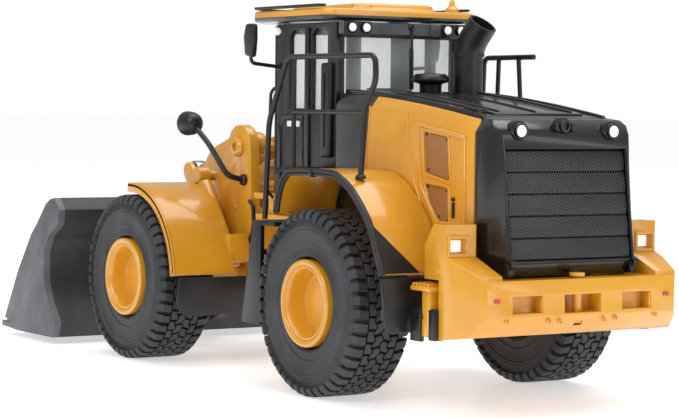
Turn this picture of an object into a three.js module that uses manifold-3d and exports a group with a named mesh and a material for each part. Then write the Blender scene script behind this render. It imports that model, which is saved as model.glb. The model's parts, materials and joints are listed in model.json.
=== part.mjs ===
// A 1:50 die-cast wheel loader: two frames joined by a vertical steering pin, a rear axle that
// oscillates, a cab and hood on the rear frame, and a Z-bar lift linkage with its bucket in front.
// Millimetres. x is the machine's left, y points to its rear, z is up. While the pieces are made,
// y = 0 is the steering pin and z = 0 the ground; the last group moves them so that the model's
// length is centred on y = 0. In the linkage, a point is given as [ahead of the pin, height].
import * as THREE from "three";
import { mergeVertices } from "three/addons/utils/BufferGeometryUtils.js";
import Module from "manifold-3d";

const wasm = await Module();
wasm.setup();

// ---- driving dimensions ----
const GAP = 0.3; // between neighbouring pieces
const FIT = 0.15; // radial play of a pin or shaft in its bore
const WHEELBASE = 67;
const AXLE_Y = WHEELBASE / 2; // each axle's distance from the steering pin
const TYRE_R = 16.1;
const TYRE_W = 11.2;
const TREAD_W = 9.4;
const TRACK = 44.6;
const WHEEL_X = TRACK / 2;
const TYRE_IN = WHEEL_X - TYRE_W / 2;
const TYRE_OUT = WHEEL_X + TYRE_W / 2;
const RIM_R = 7.55;
const RIM_PROUD = 0.5; // the rim's lip past the tyre's widest place
const SHAFT_R = 1.2;
const AXLE_TUBE_R = 3;
const AXLE_BULB_R = 4.6;
const TRUNNION_R = 2.1;

const PIN_R = 1.5; // steering pin
const LUG_T = 3; // height of a steering lug
const LUG_R = 3.5;
const LUG_LOW_Z = 9; // underside of the rear frame's lower lug
const LUG_HIGH_Z = 24; // underside of the rear frame's upper lug
const SPINE_HW = 9;
const SPINE_Z = [22.2, 28.5];

const HOOD_HW = 14.8;
const HOOD_TOP_HW = HOOD_HW - 1.8;
const HOOD_WALL = 1.2;
const HOOD_FRONT_Y = 22;
const HOOD_REAR_Y = AXLE_Y + 30.1;
const HOOD_FRONT_Z = 52.6; // height of the hood's top at its front end
const HOOD_REAR_Z = 48.3; // and at its rear end
const HOOD_LOW_Z = 30;

const DECK_Z = 39; // walkway on the rear fenders
const FENDER_T = 1;
const FENDER_OUT = TYRE_OUT - 0.4;

const CAB_HW = 13.8;
const CAB_NOSE_HW = 9;
const CAB_Y = [-8.5, 0.5, 20.6]; // nose, front corner, rear wall
const CAB_LOW_Z = 30;
const CAB_TOP_Z = 64.9;
const CAB_WALL = 1.1;
const SILL_Z = 49;
const ROOF_HW = 16.6;
const ROOF_T = 2.1;

const BUMPER_REAR_Y = AXLE_Y + 40.5;
const BUMPER_HW = TYRE_OUT - 6.1;

const TOWER_IN = 7.6; // inner face of a tower plate
const TOWER_T = 2;
const ARM_T = 2.4;
const CYL_X = TOWER_IN + TOWER_T + 1.9; // lift cylinders' centre planes
const EYE_R = 1.7;
const LIFT_PIN_R = 1;
const TILT_PIN_R = 0.9;
const LINK_HW = 1.3; // half width of the tilt link and of the tilt rod's eye
const CRANK_PLATE_T = 1;

// Linkage points.
const ARM_PIVOT = ahead(-12.8, 41.7);
const BUCKET_PIVOT = ahead(24, 8);
const CRANK_PIVOT = ahead(11.9, 26);
const CRANK_LOW = ahead(10.5, 12);
const CRANK_HIGH = ahead(20.5, 36);
const LINK_FRONT = ahead(26, 15);
const LIFT_BASE = ahead(-13.5, 20);
const LIFT_EYE = ahead(-1.2, 35.8);
const BUCKET_HW = TYRE_OUT + 1.4;
const BUCKET_FLOOR_Z = 1.4;
const BUCKET_LIP = AXLE_Y + 54.5;
const BUCKET_BACK = AXLE_Y + 26.5;
const BUCKET_TOP_Z = 29;
const HINGE_Y = (BUCKET_LIP - BUMPER_REAR_Y) / 2; // from the model's middle back to the steering pin

const AXLE_TUBE_HW = TYRE_IN - 1.2;
const FENDER_IN = HOOD_HW + GAP;
const PIN_SIDES = 12;

// ---- finishes ----
function finish(color, roughness, metalness = 0) {
  return new THREE.MeshStandardMaterial({ color, roughness, metalness });
}
const yellow = finish(0xe3a32b, 0.35);
const black = finish(0x17181a, 0.45);
const grey = finish(0x4b4c50, 0.5);
const rubber = finish(0x2e3033, 0.85);
const steel = finish(0x9a9c9f, 0.3, 0.9);
const bucketGrey = finish(0x4a4b4f, 0.6);
const glass = finish(0xdfe8ec, 0.08);

// ---- solids ----
// A closed geometry as a manifold, turned right side out, with its collapsed triangles left out.
function solidOf(geometry) {
  const loose = geometry.index ? geometry.toNonIndexed() : geometry;
  const bare = new THREE.BufferGeometry();
  bare.setAttribute("position", loose.getAttribute("position"));
  const merged = mergeVertices(bare, 1e-4);
  const source = merged.index.array;
  const corners = [];
  for (let i = 0; i < source.length; i += 3) {
    const [a, b, c] = [source[i], source[i + 1], source[i + 2]];
    if (a !== b && b !== c && c !== a) corners.push(a, b, c);
  }
  const made = manifoldFrom(merged.attributes.position.array, corners);
  if (made.volume() >= 0) return made;
  return manifoldFrom(merged.attributes.position.array, corners.reverse());
}

function manifoldFrom(vertProperties, corners) {
  const triVerts = new Uint32Array(corners);
  return new wasm.Manifold(new wasm.Mesh({ numProp: 3, vertProperties, triVerts }));
}

function join(...solids) {
  return solids.reduce((sum, solid) => sum.add(solid));
}

function cut(solid, ...tools) {
  return tools.reduce((rest, tool) => rest.subtract(tool), solid);
}

function moved(solid, x, y, z) {
  return solid.translate([x, y, z]);
}

// A copy on the other side of the machine.
function mirrored(solid) {
  return solid.scale([-1, 1, 1]);
}

function box(x, y, z) {
  const geometry = new THREE.BoxGeometry(x[1] - x[0], y[1] - y[0], z[1] - z[0]);
  geometry.translate((x[0] + x[1]) / 2, (y[0] + y[1]) / 2, (z[0] + z[1]) / 2);
  return solidOf(geometry);
}

function extrusion(outline, depth) {
  const shape = new THREE.Shape(outline.map(([a, b]) => new THREE.Vector2(a, b)));
  return new THREE.ExtrudeGeometry(shape, { depth, bevelEnabled: false });
}

// A side outline, [y, z] points, extruded across the machine.
function acrossX(outline, x) {
  const turn = new THREE.Matrix4().makeBasis(
    new THREE.Vector3(0, 1, 0),
    new THREE.Vector3(0, 0, 1),
    new THREE.Vector3(1, 0, 0),
  );
  turn.setPosition(x[0], 0, 0);
  return solidOf(extrusion(outline, x[1] - x[0]).applyMatrix4(turn));
}

// A rear outline, [x, z] points, extruded along the machine.
function alongY(outline, y) {
  const turn = new THREE.Matrix4().makeBasis(
    new THREE.Vector3(1, 0, 0),
    new THREE.Vector3(0, 0, 1),
    new THREE.Vector3(0, -1, 0),
  );
  turn.setPosition(0, y[1], 0);
  return solidOf(extrusion(outline, y[1] - y[0]).applyMatrix4(turn));
}

// A plan outline, [x, y] points, extruded upwards.
function upZ(outline, z) {
  const geometry = extrusion(outline, z[1] - z[0]);
  geometry.translate(0, 0, z[0]);
  return solidOf(geometry);
}

// A round bar about an axis through [a, b], the two coordinates across it.
function rodX(y, z, r, x, sides = PIN_SIDES) {
  const geometry = new THREE.CylinderGeometry(r, r, x[1] - x[0], sides);
  geometry.rotateZ(Math.PI / 2);
  geometry.translate((x[0] + x[1]) / 2, y, z);
  return solidOf(geometry);
}

function rodY(x, z, r, y, sides = PIN_SIDES) {
  const geometry = new THREE.CylinderGeometry(r, r, y[1] - y[0], sides);
  geometry.translate(x, (y[0] + y[1]) / 2, z);
  return solidOf(geometry);
}

function rodZ(x, y, r, z, sides = PIN_SIDES) {
  const geometry = new THREE.CylinderGeometry(r, r, z[1] - z[0], sides);
  geometry.rotateX(Math.PI / 2);
  geometry.translate(x, y, (z[0] + z[1]) / 2);
  return solidOf(geometry);
}

// A straight round bar from one point to another.
function bar(from, to, r, sides = PIN_SIDES) {
  const a = new THREE.Vector3(...from);
  const b = new THREE.Vector3(...to);
  const geometry = new THREE.CylinderGeometry(r, r, a.distanceTo(b), sides);
  const up = new THREE.Vector3(0, 1, 0);
  const direction = b.clone().sub(a).normalize();
  geometry.applyQuaternion(new THREE.Quaternion().setFromUnitVectors(up, direction));
  geometry.translate(...a.add(b).multiplyScalar(0.5).toArray());
  return solidOf(geometry);
}

// A bent tube: straight runs between the points, with each corner rounded over `bend`.
function tube(points, r, bend, steps, sides = 8) {
  const corners = points.map((point) => new THREE.Vector3(...point));
  const path = new THREE.CurvePath();
  let start = corners[0];
  for (let i = 1; i < corners.length - 1; i += 1) {
    const before = start.clone().sub(corners[i]).setLength(bend).add(corners[i]);
    const after = corners[i + 1].clone().sub(corners[i]).setLength(bend).add(corners[i]);
    path.add(new THREE.LineCurve3(start, before));
    path.add(new THREE.QuadraticBezierCurve3(before, corners[i], after));
    start = after;
  }
  path.add(new THREE.LineCurve3(start, corners.at(-1)));
  const section = new THREE.Shape();
  for (let i = 0; i < sides; i += 1) {
    const turn = (2 * Math.PI * i) / sides;
    const [a, b] = [r * Math.cos(turn), r * Math.sin(turn)];
    if (i === 0) section.moveTo(a, b);
    else section.lineTo(a, b);
  }
  section.closePath();
  const settings = { steps, bevelEnabled: false, extrudePath: path };
  return solidOf(new THREE.ExtrudeGeometry(section, settings));
}

// A turned piece about an axle: [radius, x] points, with a flat of its rim facing down.
function turnedX(profile, segments) {
  const points = profile.map(([r, x]) => new THREE.Vector2(r, x));
  const geometry = new THREE.LatheGeometry(points, segments);
  geometry.rotateY(Math.PI / segments);
  geometry.rotateZ(-Math.PI / 2);
  return solidOf(geometry);
}

// Points of an arc about a centre, angles in degrees.
function arc([a, b], r, from, to, steps) {
  return Array.from({ length: steps + 1 }, (_, i) => {
    const turn = THREE.MathUtils.degToRad(from + ((to - from) * i) / steps);
    return [a + r * Math.cos(turn), b + r * Math.sin(turn)];
  });
}

// A linkage point: how far it lies ahead of the steering pin, and its height, from its distance
// ahead of the front axle.
function ahead(distance, height) {
  return [AXLE_Y + distance, height];
}

// A linkage point as a side outline's [y, z].
function side([distance, height]) {
  return [-distance, height];
}

// A side outline's [y, z] at a distance ahead of the front axle.
function fore(distance, height) {
  return side(ahead(distance, height));
}

// A side outline's [y, z] at a distance behind the rear axle.
function aft(distance, height) {
  return [AXLE_Y + distance, height];
}

// ---- rear frame, steering pin and rear axle ----
// A plate that ends in a half circle about the steering pin; `to` is its far end along y.
function steeringLug(to, z) {
  const reach = to > 0 ? [0, to] : [to, 0];
  const plate = join(box([-LUG_R, LUG_R], reach, z), rodZ(0, 0, LUG_R, z));
  return cut(plate, rodZ(0, 0, PIN_R + FIT, [z[0] - 1, z[1] + 1]));
}

const WEB_Y = [5, 9];
const HANGER_T = 3;
const HANGER_GAP = AXLE_BULB_R + 2.4; // from the axle's centre to a hanger's inner face

function hanger(from) {
  const plate = box([-4.5, 4.5], [from, from + HANGER_T], [TYRE_R - 4, SPINE_Z[0] + 1]);
  return cut(plate, rodY(0, TYRE_R, TRUNNION_R + FIT, [from - 1, from + HANGER_T + 1]));
}

function rearFrame() {
  const spine = box([-SPINE_HW, SPINE_HW], [WEB_Y[0], HOOD_REAR_Y + 1], SPINE_Z);
  const web = box([-6, 6], WEB_Y, [LUG_LOW_Z, SPINE_Z[1]]);
  const deckBeam = box([-12, 12], [-10, 10], [CAB_LOW_Z - 2.2, CAB_LOW_Z - 1]);
  const post = box([-SPINE_HW, SPINE_HW], [3.5, 10], [SPINE_Z[1] - 1, CAB_LOW_Z - GAP]);
  return join(
    spine,
    web,
    post,
    deckBeam,
    steeringLug(WEB_Y[1], [LUG_LOW_Z, LUG_LOW_Z + LUG_T]),
    steeringLug(WEB_Y[1], [LUG_HIGH_Z, LUG_HIGH_Z + LUG_T]),
    hanger(AXLE_Y - HANGER_GAP - HANGER_T),
    hanger(AXLE_Y + HANGER_GAP),
  );
}

function steeringPin() {
  const shank = rodZ(0, 0, PIN_R, [LUG_LOW_Z - 1.6, LUG_HIGH_Z + LUG_T + GAP]);
  const head = rodZ(0, 0, PIN_R + 1, [LUG_LOW_Z - 1.8, LUG_LOW_Z - GAP]);
  return join(shank, head);
}

function axleBore() {
  return rodX(0, TYRE_R, SHAFT_R + FIT, [-AXLE_TUBE_HW - 1, AXLE_TUBE_HW + 1]);
}

function axleHousing(fittings) {
  const bulb = turnedX(
    [
      [0, -AXLE_BULB_R],
      [AXLE_BULB_R * 0.7, -AXLE_BULB_R * 0.8],
      [AXLE_BULB_R, -AXLE_BULB_R * 0.3],
      [AXLE_BULB_R, AXLE_BULB_R * 0.3],
      [AXLE_BULB_R * 0.7, AXLE_BULB_R * 0.8],
      [0, AXLE_BULB_R],
    ],
    PIN_SIDES,
  );
  const housing = join(
    rodX(0, TYRE_R, AXLE_TUBE_R, [-AXLE_TUBE_HW, AXLE_TUBE_HW]),
    moved(bulb, 0, 0, TYRE_R),
    fittings,
  );
  return cut(housing, axleBore());
}

function rearAxleHousing() {
  const reach = HANGER_GAP + HANGER_T + 0.6;
  const trunnions = rodY(0, TYRE_R, TRUNNION_R, [-reach, reach]);
  return moved(axleHousing(trunnions), 0, AXLE_Y, 0);
}

function frontAxleHousing() {
  const pads = [-5, 5].map((x) => box([x - 2, x + 2], [-3, 3], [TYRE_R, FRONT_BASE_Z - GAP]));
  return moved(axleHousing(join(...pads)), 0, -AXLE_Y, 0);
}

// ---- wheels ----
const HUB_DEPTH = 2.2; // from the wheel's centre plane out to the disc's face

function axleShaft(y) {
  const reach = WHEEL_X + HUB_DEPTH - 1;
  return rodX(y, TYRE_R, SHAFT_R, [-reach, reach]);
}

function tyre() {
  const wide = TYRE_W / 2;
  const tread = TREAD_W / 2;
  const bead = RIM_R + GAP;
  const crown = TYRE_R / Math.cos(Math.PI / 36);
  const half = [
    [bead, wide - 0.7],
    [bead + 0.4, wide - 0.3],
    [TYRE_R * 0.72, wide],
    [TYRE_R * 0.91, wide - 0.4],
    [crown, tread],
  ];
  const other = half.map(([r, x]) => [r, -x]).reverse();
  return turnedX([...half, ...other, half[0]], 36);
}

// The rim of a left-hand wheel: a deep dish that opens outwards, with a blind hub for the shaft.
function rim() {
  const lip = TYRE_W / 2 + RIM_PROUD;
  const bore = SHAFT_R + 0.1;
  return turnedX(
    [
      [0, HUB_DEPTH],
      [RIM_R * 0.74, HUB_DEPTH],
      [RIM_R * 0.8, lip - 0.8],
      [RIM_R * 0.86, lip],
      [RIM_R * 0.96, lip],
      [RIM_R, lip - 0.3],
      [RIM_R, -TYRE_W / 2 + 0.6],
      [RIM_R - 0.9, -TYRE_W / 2 + 0.6],
      [RIM_R - 1.2, HUB_DEPTH - 1.8],
      [bore + 1.2, HUB_DEPTH - 1.8],
      [bore + 1.2, HUB_DEPTH - 2.8],
      [bore, HUB_DEPTH - 2.8],
      [bore, HUB_DEPTH - 0.7],
      [0, HUB_DEPTH - 0.7],
    ],
    20,
  );
}

// ---- hood ----
function hoodTopZ(y) {
  const along = (y - HOOD_FRONT_Y) / (HOOD_REAR_Y - HOOD_FRONT_Y);
  return HOOD_FRONT_Z + (HOOD_REAR_Z - HOOD_FRONT_Z) * Math.max(along, 0) ** 1.6;
}

// The hood's top line as side points, lowered by `drop`, from one y to another.
function hoodTopLine(from, to, drop, steps = 5) {
  return Array.from({ length: steps + 1 }, (_, i) => {
    const y = from + ((to - from) * i) / steps;
    return [y, hoodTopZ(y) - drop];
  });
}

const HOOD_CHAMFER = 2.5; // height of the sloped band under the hood's top
const HOOD_TOP_T = 1.2;

function hoodOutline(drop, inset) {
  const [front, rear] = [HOOD_FRONT_Y + inset, HOOD_REAR_Y - inset];
  return [[front, HOOD_LOW_Z - inset], ...hoodTopLine(front, rear, drop), [rear, SPINE_Z[1] + GAP - inset]];
}

// One wedge per side leaves the sloped band between the side panel and the hood's top.
function hoodChamfer(sign) {
  const outline = [
    [HOOD_TOP_HW, 0],
    [HOOD_HW + 1, 0],
    [HOOD_HW + 1, -HOOD_CHAMFER * 1.56],
    [HOOD_HW, -HOOD_CHAMFER],
  ];
  const slices = hoodTopLine(HOOD_FRONT_Y, HOOD_REAR_Y, 0).slice(0, -1);
  const ends = hoodTopLine(HOOD_FRONT_Y, HOOD_REAR_Y, 0).slice(1);
  const wedges = slices.map(([y0, z0], i) => wedgeBetween(outline, sign, y0, z0, ...ends[i]));
  return join(...wedges);
}

// A prism whose ends lie at two places of the hood's top line.
function wedgeBetween(outline, sign, y0, z0, y1, z1) {
  const slope = (z1 - z0) / (y1 - y0);
  const shear = new THREE.Matrix4().set(1, 0, 0, 0, 0, 1, 0, 0, 0, slope, 1, z0 - slope * y0, 0, 0, 0, 1);
  const turn = new THREE.Matrix4().makeBasis(
    new THREE.Vector3(sign, 0, 0),
    new THREE.Vector3(0, 0, 1),
    new THREE.Vector3(0, -sign, 0),
  );
  const [low, high] = [y0 - 0.01, y1 + 0.01];
  turn.setPosition(0, sign > 0 ? high : low, 0);
  const raised = outline.map(([x, z]) => [x, z === 0 ? 1 : z]);
  raised.push([HOOD_TOP_HW, 0]);
  const prism = extrusion(raised, high - low).applyMatrix4(turn);
  return solidOf(prism.applyMatrix4(shear));
}

const VENT_WINDOWS = [
  [
    aft(16.4, 38.9),
    aft(23.5, 37.6),
    aft(22.8, 45),
    aft(15.9, 45.8),
  ],
  [
    aft(20.3, 30.9),
    aft(23.4, 30.6),
    aft(23, 36.5),
    aft(16.4, 37.1),
    aft(17.7, 33.8),
  ],
];

function hoodShell() {
  const outer = acrossX(hoodOutline(0, 0), [-HOOD_HW, HOOD_HW]);
  const inner = acrossX(
    [
      [HOOD_FRONT_Y - 1, HOOD_LOW_Z - 9],
      ...hoodTopLine(HOOD_FRONT_Y - 1, HOOD_REAR_Y - HOOD_WALL, HOOD_TOP_T + HOOD_WALL + 0.9),
      [HOOD_REAR_Y - HOOD_WALL, HOOD_LOW_Z - 9],
    ],
    [-HOOD_HW + HOOD_WALL, HOOD_HW - HOOD_WALL],
  );
  const recess = acrossX(
    [
      [HOOD_FRONT_Y - 1, HOOD_FRONT_Z + 3],
      ...hoodTopLine(HOOD_FRONT_Y - 1, HOOD_REAR_Y + 1, HOOD_TOP_T + GAP),
      [HOOD_REAR_Y + 1, HOOD_FRONT_Z + 3],
    ],
    [-HOOD_TOP_HW - 0.2, HOOD_TOP_HW + 0.2],
  );
  const windows = VENT_WINDOWS.map((outline) => acrossX(outline, [-HOOD_HW - 1, HOOD_HW + 1]));
  return cut(outer, inner, hoodChamfer(1), hoodChamfer(-1), recess, ...windows);
}

// The black lid that lies in the hood's top recess.
function hoodTop() {
  const [front, rear] = [HOOD_FRONT_Y + GAP, HOOD_REAR_Y + 0.1];
  const outline = [...hoodTopLine(front, rear, 0), ...hoodTopLine(front, rear, HOOD_TOP_T).reverse()];
  const lid = acrossX(outline, [-HOOD_TOP_HW + 0.1, HOOD_TOP_HW - 0.1]);
  const holes = [
    rodZ(STACK_X, STACK_Y, STACK_R + GAP, [HOOD_REAR_Z, HOOD_FRONT_Z + 2]),
    rodZ(PRECLEANER_X, PRECLEANER_Y, PRECLEANER_NECK_R + GAP, [HOOD_REAR_Z, HOOD_FRONT_Z + 2]),
  ];
  return cut(lid, ...holes);
}

// A perforated plate behind the side panel's two vent windows.
function ventScreen() {
  const x = [HOOD_HW - HOOD_WALL - GAP - 0.5, HOOD_HW - HOOD_WALL - GAP];
  return acrossX(
    [
      aft(14.9, 30),
      aft(24.7, 29.6),
      aft(24.7, 45.4),
      aft(14.9, 46.8),
    ],
    x,
  );
}

const SHROUD_LOW_Z = 22.6;
const SHROUD_WALL = 1.5;
const SHROUD_REAR_Y = HOOD_REAR_Y + 7.4;
const RADIATOR_ROOM_Y = HOOD_REAR_Y + 1.8; // rear end of the hollow behind the grille
const RADIATOR_BACK_Y = HOOD_REAR_Y + 3.4; // front plane of the grille's recess
const GRILLE_HW = HOOD_HW - 2.5;
const GRILLE_TOP = aft(34.8, 43);
const GRILLE_LOW = aft(37.1, 25.2);

// The black surround at the hood's rear end, open in the middle for the radiator grille.
function rearShroud() {
  const y0 = HOOD_REAR_Y + GAP;
  const outline = [
    [y0, SHROUD_LOW_Z],
    [SHROUD_REAR_Y - 1, SHROUD_LOW_Z],
    [SHROUD_REAR_Y, SHROUD_LOW_Z + 2.3],
    [SHROUD_REAR_Y - 1.8, HOOD_REAR_Z - 5],
    [SHROUD_REAR_Y - 2.1, HOOD_REAR_Z - 2.7],
    [SHROUD_REAR_Y - 4.4, HOOD_REAR_Z - 0.4],
    [y0, hoodTopZ(y0)],
  ];
  const block = acrossX(outline, [-HOOD_HW, HOOD_HW]);
  const corners = [1, -1].map((sign) =>
    upZ(
      [
        [sign * HOOD_HW * 0.86, SHROUD_REAR_Y + 3],
        [sign * (HOOD_HW + 1), SHROUD_REAR_Y + 3],
        [sign * (HOOD_HW + 1), RADIATOR_ROOM_Y - 0.8],
        [sign * HOOD_HW, RADIATOR_ROOM_Y],
        [sign * HOOD_HW * 0.88, SHROUD_REAR_Y - 1.6],
      ],
      [0, HOOD_FRONT_Z],
    ),
  );
  const topEdges = [1, -1].map((sign) =>
    alongY(
      [
        [sign * HOOD_TOP_HW, HOOD_REAR_Z],
        [sign * (HOOD_HW + 1), HOOD_REAR_Z - HOOD_CHAMFER * 1.56],
        [sign * (HOOD_HW + 1), HOOD_REAR_Z + 3],
        [sign * HOOD_TOP_HW, HOOD_REAR_Z + 3],
      ],
      [y0 - 1, SHROUD_REAR_Y + 1],
    ),
  );
  const opening = box(
    [-GRILLE_HW - GAP, GRILLE_HW + GAP],
    [RADIATOR_BACK_Y, SHROUD_REAR_Y + 1],
    [GRILLE_LOW[1] - GAP, GRILLE_TOP[1] + GAP],
  );
  const hollow = box(
    [-HOOD_HW + SHROUD_WALL, HOOD_HW - SHROUD_WALL],
    [y0 - 1, RADIATOR_ROOM_Y],
    [SHROUD_LOW_Z - 1, HOOD_REAR_Z - 3.3],
  );
  return cut(block, ...corners, ...topEdges, opening, hollow);
}

// Five slightly crowned panels with a groove between each pair.
function radiatorGrille() {
  const [top, low] = [GRILLE_TOP, GRILLE_LOW];
  const panels = 5;
  const face = [];
  for (let i = 0; i < panels; i += 1) {
    for (const part of [0.04, 0.5, 0.96]) {
      const down = (i + part) / panels;
      const crown = part === 0.5 ? 0.35 : 0.2;
      face.push([top[0] + (low[0] - top[0]) * down + crown, top[1] + (low[1] - top[1]) * down]);
    }
    const seam = (i + 1) / panels;
    const groove = [top[0] + (low[0] - top[0]) * seam - 0.2, top[1] + (low[1] - top[1]) * seam];
    if (i < panels - 1) face.push(groove);
  }
  const back = RADIATOR_BACK_Y + GAP;
  return acrossX([[back, top[1]], ...face, [back, low[1]]], [-GRILLE_HW, GRILLE_HW]);
}

// ---- stack, precleaner and beacon ----
const STACK_X = -HOOD_HW + 5.4;
const STACK_Y = HOOD_FRONT_Y + 6.5;
const STACK_R = 2.7;
const PRECLEANER_X = STACK_X + 6.8;
const PRECLEANER_Y = HOOD_FRONT_Y + 4.5;
const PRECLEANER_NECK_R = 2;
const STACK_FOOT_Z = HOOD_FRONT_Z - HOOD_TOP_T;
const STACK_ELBOW_Z = HOOD_FRONT_Z + 8;
const STACK_WALL = 0.5;

function exhaustStack() {
  const outer = tube(
    [
      [STACK_X, STACK_Y, STACK_FOOT_Z],
      [STACK_X, STACK_Y, STACK_ELBOW_Z],
      [STACK_X - 1.1, STACK_Y + 2.9, STACK_ELBOW_Z + 4.4],
    ],
    STACK_R,
    2,
    6,
    12,
  );
  const bore = tube(
    [
      [STACK_X, STACK_Y, STACK_FOOT_Z + 6],
      [STACK_X, STACK_Y, STACK_ELBOW_Z],
      [STACK_X - 1.3, STACK_Y + 3.4, STACK_ELBOW_Z + 5.2],
    ],
    STACK_R - STACK_WALL,
    2,
    6,
    12,
  );
  return cut(outer, bore);
}

function airPrecleaner() {
  const geometry = new THREE.LatheGeometry(
    [
      [0, STACK_FOOT_Z],
      [PRECLEANER_NECK_R, STACK_FOOT_Z],
      [PRECLEANER_NECK_R, HOOD_FRONT_Z + 1.4],
      [3.4, HOOD_FRONT_Z + 1.8],
      [3.5, HOOD_FRONT_Z + 2.4],
      [2.8, HOOD_FRONT_Z + 3.2],
      [0, HOOD_FRONT_Z + 3.4],
    ].map(([r, z]) => new THREE.Vector2(r, z)),
    PIN_SIDES,
  );
  geometry.rotateX(Math.PI / 2);
  return moved(solidOf(geometry), PRECLEANER_X, PRECLEANER_Y, 0);
}

const BEACON_Y = CAB_Y[2] - 3.1;

function beacon() {
  const foot = rodZ(-ROOF_HW + 3, BEACON_Y, 0.9, [CAB_TOP_Z + ROOF_T + 2 * GAP, CAB_TOP_Z + ROOF_T + 1.4]);
  const stem = rodZ(-ROOF_HW + 3, BEACON_Y, 0.45, [CAB_TOP_Z + ROOF_T + 1, CAB_TOP_Z + ROOF_T + 2.9]);
  return join(foot, stem);
}

// ---- counterweight ----
const BUMPER_Z = [12.3, 22.3];
const TOWER_LAMP_IN = HOOD_HW + 1.1;
const BUMPER_TOWER_Z = 31;
const BUMPER_FRONT_Y = BUMPER_REAR_Y - 14;
const TOWER_REAR_Y = BUMPER_REAR_Y - 7.9;
const TOW_PIN_Y = BUMPER_REAR_Y - 1.8;
const POCKET_Z = [17, 19.8];

function counterweight() {
  const rear = BUMPER_REAR_Y;
  const beam = acrossX(
    [
      [BUMPER_FRONT_Y + 4, BUMPER_Z[1]],
      [rear - 0.2, BUMPER_Z[1]],
      [rear, BUMPER_Z[0] + 4.1],
      [rear - 3, BUMPER_Z[0] + 0.9],
      [rear - 10, BUMPER_Z[0]],
      [BUMPER_FRONT_Y + 4, BUMPER_Z[0] + 2.7],
    ],
    [-BUMPER_HW, BUMPER_HW],
  );
  const towers = [1, -1].map((sign) => bumperTower(sign));
  const corners = [1, -1].map((sign) =>
    upZ(
      [
        [sign * (BUMPER_HW - 3.6), rear + 1],
        [sign * (BUMPER_HW + 1), rear + 1],
        [sign * (BUMPER_HW + 1), rear - 8],
        [sign * BUMPER_HW, rear - 6],
        [sign * (BUMPER_HW - 1.6), rear - 0.9],
      ],
      [0, 40],
    ),
  );
  const pockets = [
    box([8.2, 14.4], [rear - 2.4, rear + 1], POCKET_Z),
    box([-14.4, -8.2], [rear - 2.4, rear + 1], POCKET_Z),
    box([-3.8, 3.8], [rear - 3.6, rear + 1], [POCKET_Z[0] - 0.2, POCKET_Z[1]]),
    rodZ(0, TOW_PIN_Y, TOW_PIN_R + 0.1, [TOW_PIN_LOW_Z - 0.4, BUMPER_Z[1] + 1]),
  ];
  const radiatorRoom = box(
    [-HOOD_HW - GAP, HOOD_HW + GAP],
    [BUMPER_FRONT_Y, SHROUD_REAR_Y + GAP],
    [SHROUD_LOW_Z - GAP, 40],
  );
  const frameRoom = box(
    [-SPINE_HW - GAP, SPINE_HW + GAP],
    [BUMPER_FRONT_Y - 1, HOOD_REAR_Y + 1 + GAP],
    [SPINE_Z[0] - GAP, 40],
  );
  return cut(join(beam, ...towers), ...corners, ...pockets, radiatorRoom, frameRoom);
}

function bumperTower(sign) {
  const x = sign > 0 ? [TOWER_LAMP_IN, BUMPER_HW] : [-BUMPER_HW, -TOWER_LAMP_IN];
  const upright = acrossX(
    [
      [BUMPER_FRONT_Y, BUMPER_Z[1] - 0.3],
      [BUMPER_FRONT_Y, BUMPER_TOWER_Z - 3.4],
      [BUMPER_FRONT_Y + 2.4, BUMPER_TOWER_Z],
      [TOWER_REAR_Y, BUMPER_TOWER_Z],
      [TOWER_REAR_Y, BUMPER_Z[1] + 3.5],
      [BUMPER_REAR_Y - 0.8, BUMPER_Z[1] + 0.7],
      [BUMPER_REAR_Y - 0.8, BUMPER_Z[0] + 4.2],
      [TOWER_REAR_Y - 0.1, BUMPER_Z[0] + 2.7],
      [TOWER_REAR_Y - 0.1, BUMPER_Z[1] - 0.3],
    ],
    x,
  );
  const [inner, outer] = [TOWER_LAMP_IN + 2, BUMPER_HW - 0.7];
  const lampWindow = box(
    sign > 0 ? [inner, outer] : [-outer, -inner],
    [TOWER_REAR_Y - 1.7, TOWER_REAR_Y + 0.9],
    [BUMPER_Z[1] + 4, BUMPER_Z[1] + 6.4],
  );
  return cut(upright, lampWindow);
}

const TOW_PIN_R = 0.8;
const TOW_PIN_LOW_Z = 15;

function towPin() {
  const shank = rodZ(0, TOW_PIN_Y, TOW_PIN_R, [TOW_PIN_LOW_Z, BUMPER_Z[1] + 0.6]);
  return join(shank, rodZ(0, TOW_PIN_Y, TOW_PIN_R + 0.5, [BUMPER_Z[1] + GAP, BUMPER_Z[1] + 0.9]));
}

// ---- rear fenders, mudguards, ladders and handrails ----
const FENDER_LINE = [
  aft(-11.6, 31.2),
  aft(-10.3, 35.6),
  aft(-8.1, 38.2),
  aft(-5, DECK_Z),
  aft(6.3, DECK_Z),
  aft(10.1, 37.9),
  aft(13.7, 35.8),
  aft(18.4, 31.2),
  aft(20.9, 26.4),
  aft(22.7, 22.6),
];

// The points of an open line moved sideways by `shift`, towards the left of its direction.
function offsetLine(line, shift) {
  return line.map(([a, b], i) => {
    const [a0, b0] = line[Math.max(i - 1, 0)];
    const [a1, b1] = line[Math.min(i + 1, line.length - 1)];
    const size = Math.hypot(a1 - a0, b1 - b0);
    return [a - ((b1 - b0) / size) * shift, b + ((a1 - a0) / size) * shift];
  });
}

function rearFender() {
  return acrossX([...FENDER_LINE, ...offsetLine(FENDER_LINE, -FENDER_T).reverse()], [FENDER_IN, FENDER_OUT]);
}

const MUDGUARD_Z = [12.9, 21.9];
const MUDGUARD_CORNER_R = 2.7;

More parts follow.
